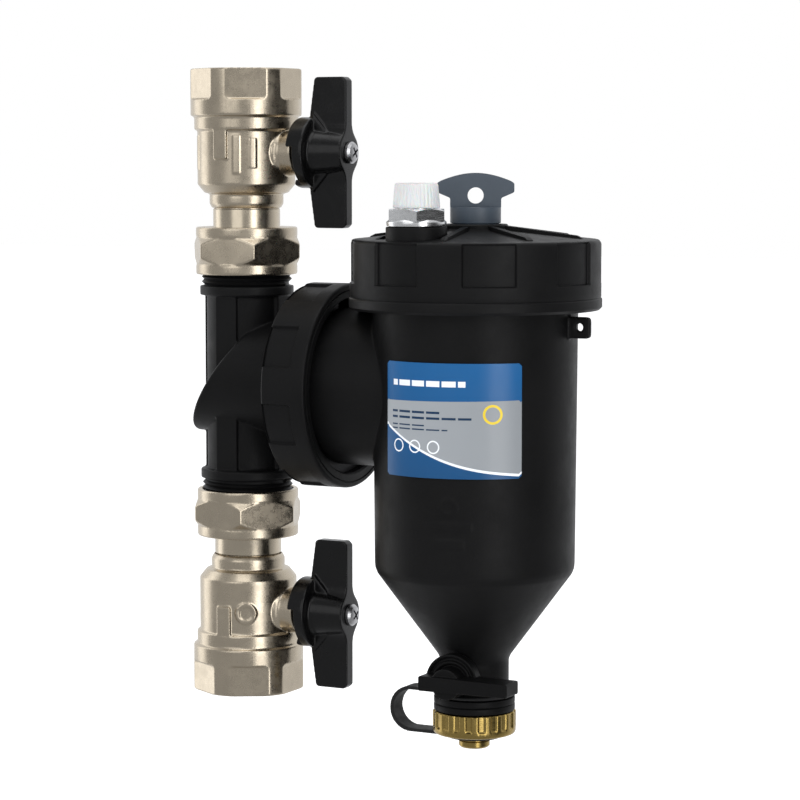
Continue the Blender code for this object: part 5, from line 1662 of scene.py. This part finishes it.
# ---- lid, vent and key ----------------------------------------------------------------------
@dataclass
class Lid:
    """Screwed lid; heights from the nozzle axis, radii from the canister axis."""

    radius: float = 56.0 * MM
    band_r: float = 56.4 * MM
    low_h: float = 36.7 * MM
    band_h: float = 41.6 * MM
    top_h: float = 67.8 * MM
    ceiling_h: float = 62.0 * MM
    boss_r: float = 14.5 * MM
    boss_h: float = 74.5 * MM
    rib_turn: float = math.radians(-80.4)
    vent_boss_r: float = 13.4 * MM
    vent_boss_h: float = 74.0 * MM

    def build(self) -> None:
        """Build the cover with its ribs and boss, the sleeve and the seal."""
        self.cover()
        self.sleeve()
        fine_o_ring("lid_o_ring", "lid_seal", standing(CANISTER))

    def cover(self) -> None:
        """Cover with eight grip recesses, radial ribs and the vent boss."""
        grip = Grip(8, math.radians(-57.9), math.radians(24), 1.3 * MM, 48.8 * MM, 67.0 * MM,
                    self.radius - 2.2 * MM)
        soft = 2.2 * MM
        corner = [(self.radius - soft + soft * math.sin(a), self.top_h - soft + soft * math.cos(a))
                  for a in (math.pi / 2 * i / 7 for i in range(8))]
        wall = [(self.radius, h) for h in close_rows(self.top_h - soft, self.band_h + 1.0 * MM,
                                                     (48.8 * MM,), grip.edge)[1:-1]]
        outline = ([(12.3 * MM, self.boss_h), (self.boss_r - 0.5 * MM, self.boss_h),
                    (self.boss_r, self.boss_h - 0.5 * MM), (self.boss_r, 72.6 * MM),
                    (self.boss_r + 1.5 * MM, 71.7 * MM)] + corner + wall
                   + [(self.radius, self.band_h + 1.0 * MM),
                      (self.radius - 0.25 * MM, self.band_h + 0.5 * MM),
                      (self.band_r - 0.1 * MM, self.band_h), (self.band_r, self.band_h - 0.3 * MM),
                      (self.band_r, self.low_h + 1.2 * MM), (self.band_r - 1.2 * MM, self.low_h),
                      (50.4 * MM, self.low_h), (50.4 * MM, self.ceiling_h), (12.3 * MM, self.ceiling_h)])
        cover = lathe("lid_moulding", outline, LEVEL, relief=grip.relief, turns=grip.turns(192))
        boss = lathe("vent_boss", rounded([(0, self.vent_boss_h), (self.vent_boss_r, self.vent_boss_h),
                                           (self.vent_boss_r, 64 * MM), (0, 64 * MM)], 0.7 * MM, 3, False),
                     shifted(VENT - CANISTER), 80)
        fused(cover, boss)
        bore = lathe("vent_bore", in_mm((0, 80), (10.0, 80), (10.0, 72.2), (6.5, 72.2), (6.5, 55),
                                   (0, 55)), shifted(VENT - CANISTER), 56)
        carved(cover, bore)
        cover.data.transform(standing(CANISTER))
        hand_over(shaded(cover, 30), "lid", NYLON, "lid_cover")
        self.ribs()

    def ribs(self) -> None:
        """Eight ribs that stand proud of the lid's slope, repeated by geometry nodes."""
        start, end = self.boss_r - 1.0 * MM, 49.0 * MM
        slope = (self.top_h - 71.7 * MM) / (self.radius - 2.2 * MM - self.boss_r)
        under = [(start, 70.2 * MM), (end, 70.2 * MM + slope * (end - start) * 1.25)]
        over = [(end, 72.1 * MM + slope * (end - start)),
                (end - 2.5 * MM, 73.3 * MM + slope * (end - start)), (start, 73.9 * MM)]
        seed = slab("lid_ribs", under + over, 2.8 * MM, Facing.FRONT.value, 0.5 * MM)
        spin = standing(CANISTER) @ spun(self.rib_turn)
        ribs = Patterns.around(seed, 8, NYLON, spin)
        hand_over(shaded(ribs), "lid", NYLON, slot="black_nylon")

    def sleeve(self) -> None:
        """Closed sleeve that keeps the magnets dry."""
        low = -75.0 * MM
        outline = [(0, low + 1.5 * MM), (10.8 * MM, low + 1.5 * MM), (10.8 * MM, 74.2 * MM),
                   (12.0 * MM, 74.2 * MM), (12.0 * MM, 61.7 * MM), (17.0 * MM, 61.7 * MM),
                   (17.0 * MM, 59.5 * MM), (12.0 * MM, 59.5 * MM), (12.0 * MM, low + 2 * MM),
                   (10.0 * MM, low), (0, low)]
        sleeve = lathe("magnet_sleeve_moulding", rounded(outline, 0.4 * MM, 2, False), standing(CANISTER),
                       72)
        hand_over(shaded(sleeve), "lid", NYLON_FINE, "magnet_sleeve")


@dataclass
class Vent:
    """Manual air vent on the lid: hexagon body, seal and turning cap."""

    flange_r: float = 13.1 * MM
    flats: float = 12.0 * MM
    hex_low: float = 76.6 * MM
    hex_top: float = 81.8 * MM
    cap_low_r: float = 10.3 * MM
    cap_top_r: float = 9.5 * MM
    cap_low: float = 82.1 * MM
    cap_top: float = 93.0 * MM

    def build(self) -> None:
        """Build the body, its seal and the cap."""
        matrix = standing(VENT)
        body = lathe("vent_body_turned",
                     rounded([(3.0 * MM, 87.0 * MM), (8.0 * MM, 87.0 * MM), (8.0 * MM, 78.0 * MM),
                              (11.8 * MM, 77.4 * MM), (self.flange_r, 76.2 * MM),
                              (self.flange_r, 74.3 * MM), (6.2 * MM, 74.3 * MM), (6.2 * MM, 62.4 * MM),
                              (3.0 * MM, 62.4 * MM)], 0.4 * MM, 2), LEVEL, 72)
        corner_r = self.flats / math.cos(math.pi / 6)
        hexagon = slab("hexagon", hexagon_corners(corner_r), self.hex_top - self.hex_low,
                       spun(math.radians(-2.5)) @ shifted((0, 0, (self.hex_top + self.hex_low) / 2)))
        turned_off = lathe("turned_off",
                           [(0, self.hex_top), (self.flats - 0.1 * MM, self.hex_top),
                            (corner_r + 0.1 * MM, self.hex_top - 1.1 * MM),
                            (corner_r + 0.1 * MM, self.hex_low), (0, self.hex_low)], LEVEL, 96)
        combined(hexagon, "INTERSECT", turned_off)
        carved(hexagon, lathe("hexagon_eye", in_mm((0, 90), (7.0, 90), (7.0, 70), (0, 70)), LEVEL, 48))
        fused(body, hexagon)
        body.data.transform(matrix)
        hand_over(shaded(body, 28), "lid", CHROME, "vent_body")
        fine_ring("vent_o_ring", "lid", RUBBER, matrix)
        self.cap(matrix)

    def cap(self, matrix: Matrix) -> None:
        """Milky cap with fine grip ribs and a side spout."""
        count, depth = 36, 0.22 * MM

        def relief(angle: float, radius: float, height: float) -> float:
            """Press shallow grooves into the cap's side."""
            if radius < self.cap_top_r - 0.6 * MM or height > self.cap_top - 1.0 * MM:
                return 0.0
            return -depth * (0.5 + 0.5 * math.cos(count * angle))

        side = [(self.cap_low_r + (self.cap_top_r - self.cap_low_r) * t,
                 self.cap_low + 0.4 * MM + (self.cap_top - self.cap_low - 1.4 * MM) * t)
                for t in (i / 8 for i in range(9))]
        outline = ([(1.5 * MM, self.cap_top), (8.4 * MM, self.cap_top), (9.1 * MM, self.cap_top - 0.3 * MM)]
                   + list(reversed(side))
                   + [(self.cap_low_r - 0.3 * MM, self.cap_low), (8.3 * MM, self.cap_low),
                      (8.3 * MM, 90.5 * MM), (1.5 * MM, 90.5 * MM)])
        cap = lathe("vent_cap_moulding", outline, matrix, 216, relief)
        spout = block("spout", (8.8 * MM, -1.9 * MM, 84.2 * MM), (12.0 * MM, 1.9 * MM, 89.8 * MM),
                      matrix @ spun(math.radians(150)), 0.7 * MM)
        fused(cap, spout)
        hand_over(shaded(cap, 35), "vent_cap", MILKY, "vent_cap")


@dataclass
class MagnetKey:
    """Pull-out key: T grip, plug, rod and the magnet stack."""

    turn: float = math.radians(27.5)
    radius: float = 11.3 * MM
    plate: float = 4.0 * MM
    eye_r: float = 3.6 * MM
    eye_h: float = 87.1 * MM

    def build(self) -> None:
        """Build the grip and refine the pieces below it."""
        matrix = standing(CANISTER) @ spun(self.turn)
        self.grip(matrix)
        fine_o_ring("key_o_ring", "key_seal", matrix)
        for node in ("magnet_1", "magnet_2", "magnet_3"):
            fine_ring(node, "magnet_key", MAGNET, matrix, 0.4 * MM)
        for node in ("pole_piece_1", "pole_piece_2"):
            fine_ring(node, "magnet_key", STEEL, matrix)
        rod = in_mm((0, 71.7), (3.0, 71.7), (3.0, -69.0), (8.0, -69.0), (8.0, -72.0), (0, -72.0))
        piece = shaded(lathe("magnet_rod_turned", rounded(rod, 0.3 * MM, 2, False), matrix, 48))
        hand_over(piece, "magnet_key", STEEL, "magnet_rod")

    def grip(self, matrix: Matrix) -> None:
        """T grip: arched flat plate with its eye, on a round plug."""
        plug = [(0, 81.9 * MM), (self.radius, 81.9 * MM), (self.radius, 74.9 * MM), (10.4 * MM, 74.9 * MM),
                (10.4 * MM, 70.6 * MM), (8.6 * MM, 70.6 * MM), (8.6 * MM, 67.8 * MM),
                (10.4 * MM, 67.8 * MM), (10.4 * MM, 64.0 * MM), (0, 64.0 * MM)]
        grip = lathe("key_grip_moulding", rounded(plug, 0.35 * MM, 2, False), LEVEL, 80)
        neck, half = 11.3 * MM, 17.15 * MM
        right = [(neck, 81.0 * MM), (neck, 86.0 * MM), (half, 88.5 * MM), (half, 92.6 * MM)]
        rise = [(half - 0.4 * MM - (half - 0.4 * MM) * i / 12,
                 93.0 * MM + 4.1 * MM * math.sin(math.pi / 2 * i / 12) ** 0.9) for i in range(1, 13)]
        side = right + rise
        outline = side + [(-x, z) for x, z in reversed(side[:-1])]
        blade = slab("blade", rounded(outline, 1.2 * MM, 3), self.plate, Facing.FRONT.value, 0.5 * MM)
        fused(grip, blade)
        eye = lathe("eye", [(0, 5 * MM), (self.eye_r, 5 * MM), (self.eye_r, -5 * MM), (0, -5 * MM)],
                    shifted((0, 0, self.eye_h)) @ Facing.FRONT.value, 48)
        socket = lathe("rod_socket", in_mm((0, 72), (3.3, 72), (3.3, 50), (0, 50)), LEVEL, 32)
        carved(grip, eye, socket)
        grip.data.transform(matrix)
        hand_over(shaded(grip), "magnet_key", KEY_GREY, "key_handle")


# ---- studio -------------------------------------------------------------------------------
@dataclass
class Studio:
    """Camera, lights, floor and backdrop."""

    lens: float = 125.5
    turn: float = math.radians(27.5)
    pitch: float = math.radians(5.1)
    aim_right: float = 71.1 * MM
    aim_up: float = -8.9 * MM
    distance: float = 1300 * MM
    room_front: float = 0.42
    room_back: float = 0.95
    room_dark: float = 0.04

    def axes(self) -> tuple[Vector, Vector, Vector]:
        """Return the view's right, up and back directions."""
        a, p = self.turn, self.pitch
        right = Vector((math.cos(a), math.sin(a), 0))
        back = Vector((math.sin(a) * math.cos(p), -math.cos(a) * math.cos(p), math.sin(p)))
        return right, back.cross(right), back

    def build(self) -> None:
        """Set up everything that isn't the filter."""
        bpy.context.scene.view_settings.view_transform = "Standard"
        self.camera()
        self.world()
        self.backdrop()
        self.lights()

    def camera(self) -> None:
        """Aim the camera level with the front right."""
        right, up, back = self.axes()
        data = bpy.data.cameras.new("view")
        data.lens = self.lens
        data.sensor_width = 36.0
        camera = bpy.data.objects.new("view", data)
        place = CROSSING + right * self.aim_right + up * self.aim_up + back * self.distance
        turned = Matrix((right, up, back)).transposed().to_4x4()
        camera.matrix_world = shifted(place) @ turned
        bpy.context.scene.collection.objects.link(camera)
        bpy.context.scene.camera = camera

    def world(self) -> None:
        """Surround the filter with a room: white behind, grey in front, one dark side."""
        world = bpy.data.worlds.new("room")
        world.use_nodes = True
        nodes, link = world.node_tree.nodes, world.node_tree.links.new
        around = nodes.new("ShaderNodeTexCoord").outputs["Generated"]

        def side(bearing: float, start: float, end: float):
            """Return a value that rises from 0 to 1 as a direction nears a bearing."""
            turn = nodes.new("ShaderNodeVectorMath")
            turn.operation = "DOT_PRODUCT"
            a = math.radians(bearing)
            turn.inputs[1].default_value = (math.cos(a), math.sin(a), 0.0)
            link(around, turn.inputs[0])
            ease = nodes.new("ShaderNodeMapRange")
            ease.interpolation_type = "SMOOTHSTEP"
            ease.inputs["From Min"].default_value = start
            ease.inputs["From Max"].default_value = end
            link(turn.outputs["Value"], ease.inputs["Value"])
            return ease.outputs["Result"]

        white = math_node(world.node_tree, "MULTIPLY_ADD", side(117.5, -0.1, 0.75),
                          self.room_back - self.room_front, self.room_front)
        shade = math_node(world.node_tree, "MULTIPLY_ADD", side(3.0, 0.87, 0.98),
                          self.room_dark - self.room_front, white)
        lit = nodes["Background"]
        lit.inputs["Color"].default_value = (0.97, 0.98, 1.0, 1.0)
        link(shade, lit.inputs["Strength"])
        paper = nodes.new("ShaderNodeBackground")
        paper.inputs["Color"].default_value = (1.0, 1.0, 1.0, 1.0)
        pick = nodes.new("ShaderNodeMixShader")
        link(nodes.new("ShaderNodeLightPath").outputs["Is Camera Ray"], pick.inputs["Fac"])
        link(lit.outputs[0], pick.inputs[1])
        link(paper.outputs[0], pick.inputs[2])
        link(pick.outputs[0], nodes["World Output"].inputs["Surface"])
        bpy.context.scene.world = world

    def paper(self, name: str, glow: float) -> bpy.types.Material:
        """Pale paper that glows a little, so that it stays white."""
        graph = Graph(name)
        tone = graph.spread(graph.noise(3, 3), 0.0, 1.0)
        graph.feed("Base Color", graph.blend(tone, (0.90, 0.90, 0.90), (0.86, 0.86, 0.87)))
        graph.fix("Roughness", 0.9)
        graph.shader.inputs["Emission Color"].default_value = (1.0, 1.0, 1.0, 1.0)
        graph.fix("Emission Strength", glow)
        return graph.material

    def backdrop(self) -> None:
        """Lay the floor."""
        half, floor_z = 6.0, -40 * MM
        bm = bmesh.new()
        bmesh.ops.create_grid(bm, x_segments=1, y_segments=1, size=half)
        floor = to_object("floor", bm, shifted((0, 0, floor_z)))
        floor.data.materials.append(self.paper("floor_paper", 0.62))
        floor.visible_glossy = False

    def lights(self) -> None:
        """Hang tall strip boxes left and right, a front fill and a top box."""
        target = CROSSING + Vector((50 * MM, 0, 0))
        for name, turn, lift, distance, width, height, power in (
                ("strip_left", 184, 6, 0.90, 0.40, 1.2, 1.5),
                ("strip_right", -36, 8, 0.95, 0.34, 1.2, 3.5),
                ("front_fill", -95, 22, 1.4, 0.9, 0.9, 2.5),
                ("top_box", -60, 80, 0.9, 0.8, 0.8, 3.0)):
            self.panel(name, target, turn, lift, distance, width, height, power)

    def panel(self, name: str, target: Vector, turn: float, lift: float, distance: float, width: float,
              height: float, power: float) -> None:
        """Hang one soft box, facing the filter.

        Args:
            name: the light's name.
            target: what it faces.
            turn: its bearing round +Z, in degrees.
            lift: its height over the target, in degrees.
            distance: how far off it hangs, in metres.
            width: its width, in metres.
            height: its height, in metres.
            power: its power, in watts.
        """
        data = bpy.data.lights.new(name, "AREA")
        data.shape = "RECTANGLE"
        data.size = width
        data.size_y = height
        data.energy = power
        light = bpy.data.objects.new(name, data)
        a, e = math.radians(turn), math.radians(lift)
        away = Vector((math.cos(a) * math.cos(e), math.sin(a) * math.cos(e), math.sin(e)))
        turned = away.to_track_quat("Z", "Y").to_matrix().to_4x4()
        light.matrix_world = shifted(target + away * distance) @ turned
        bpy.context.scene.collection.objects.link(light)


def dress_frame() -> None:
    """Give every frame node that still shows the finish of its slot."""
    for name, node in frame["nodes"].items():
        material = SLOT_FINISH[SLOT_OF[name]].material()
        for slot in node.material_slots:
            slot.material = material


def main() -> None:
    """Build the sub-assemblies in order."""
    Studio().build()
    dress_frame()
    for side, facing in (("lower", Facing.DOWN), ("upper", Facing.UP)):
        BallValve(side, facing).build()
    Tee().build()
    RingNut().build()
    Canister().build()
    DrainCock().build()
    Lid().build()
    Vent().build()
    MagnetKey().build()
    bpy.context.view_layer.update()


if __name__ == "__main__":
    main()
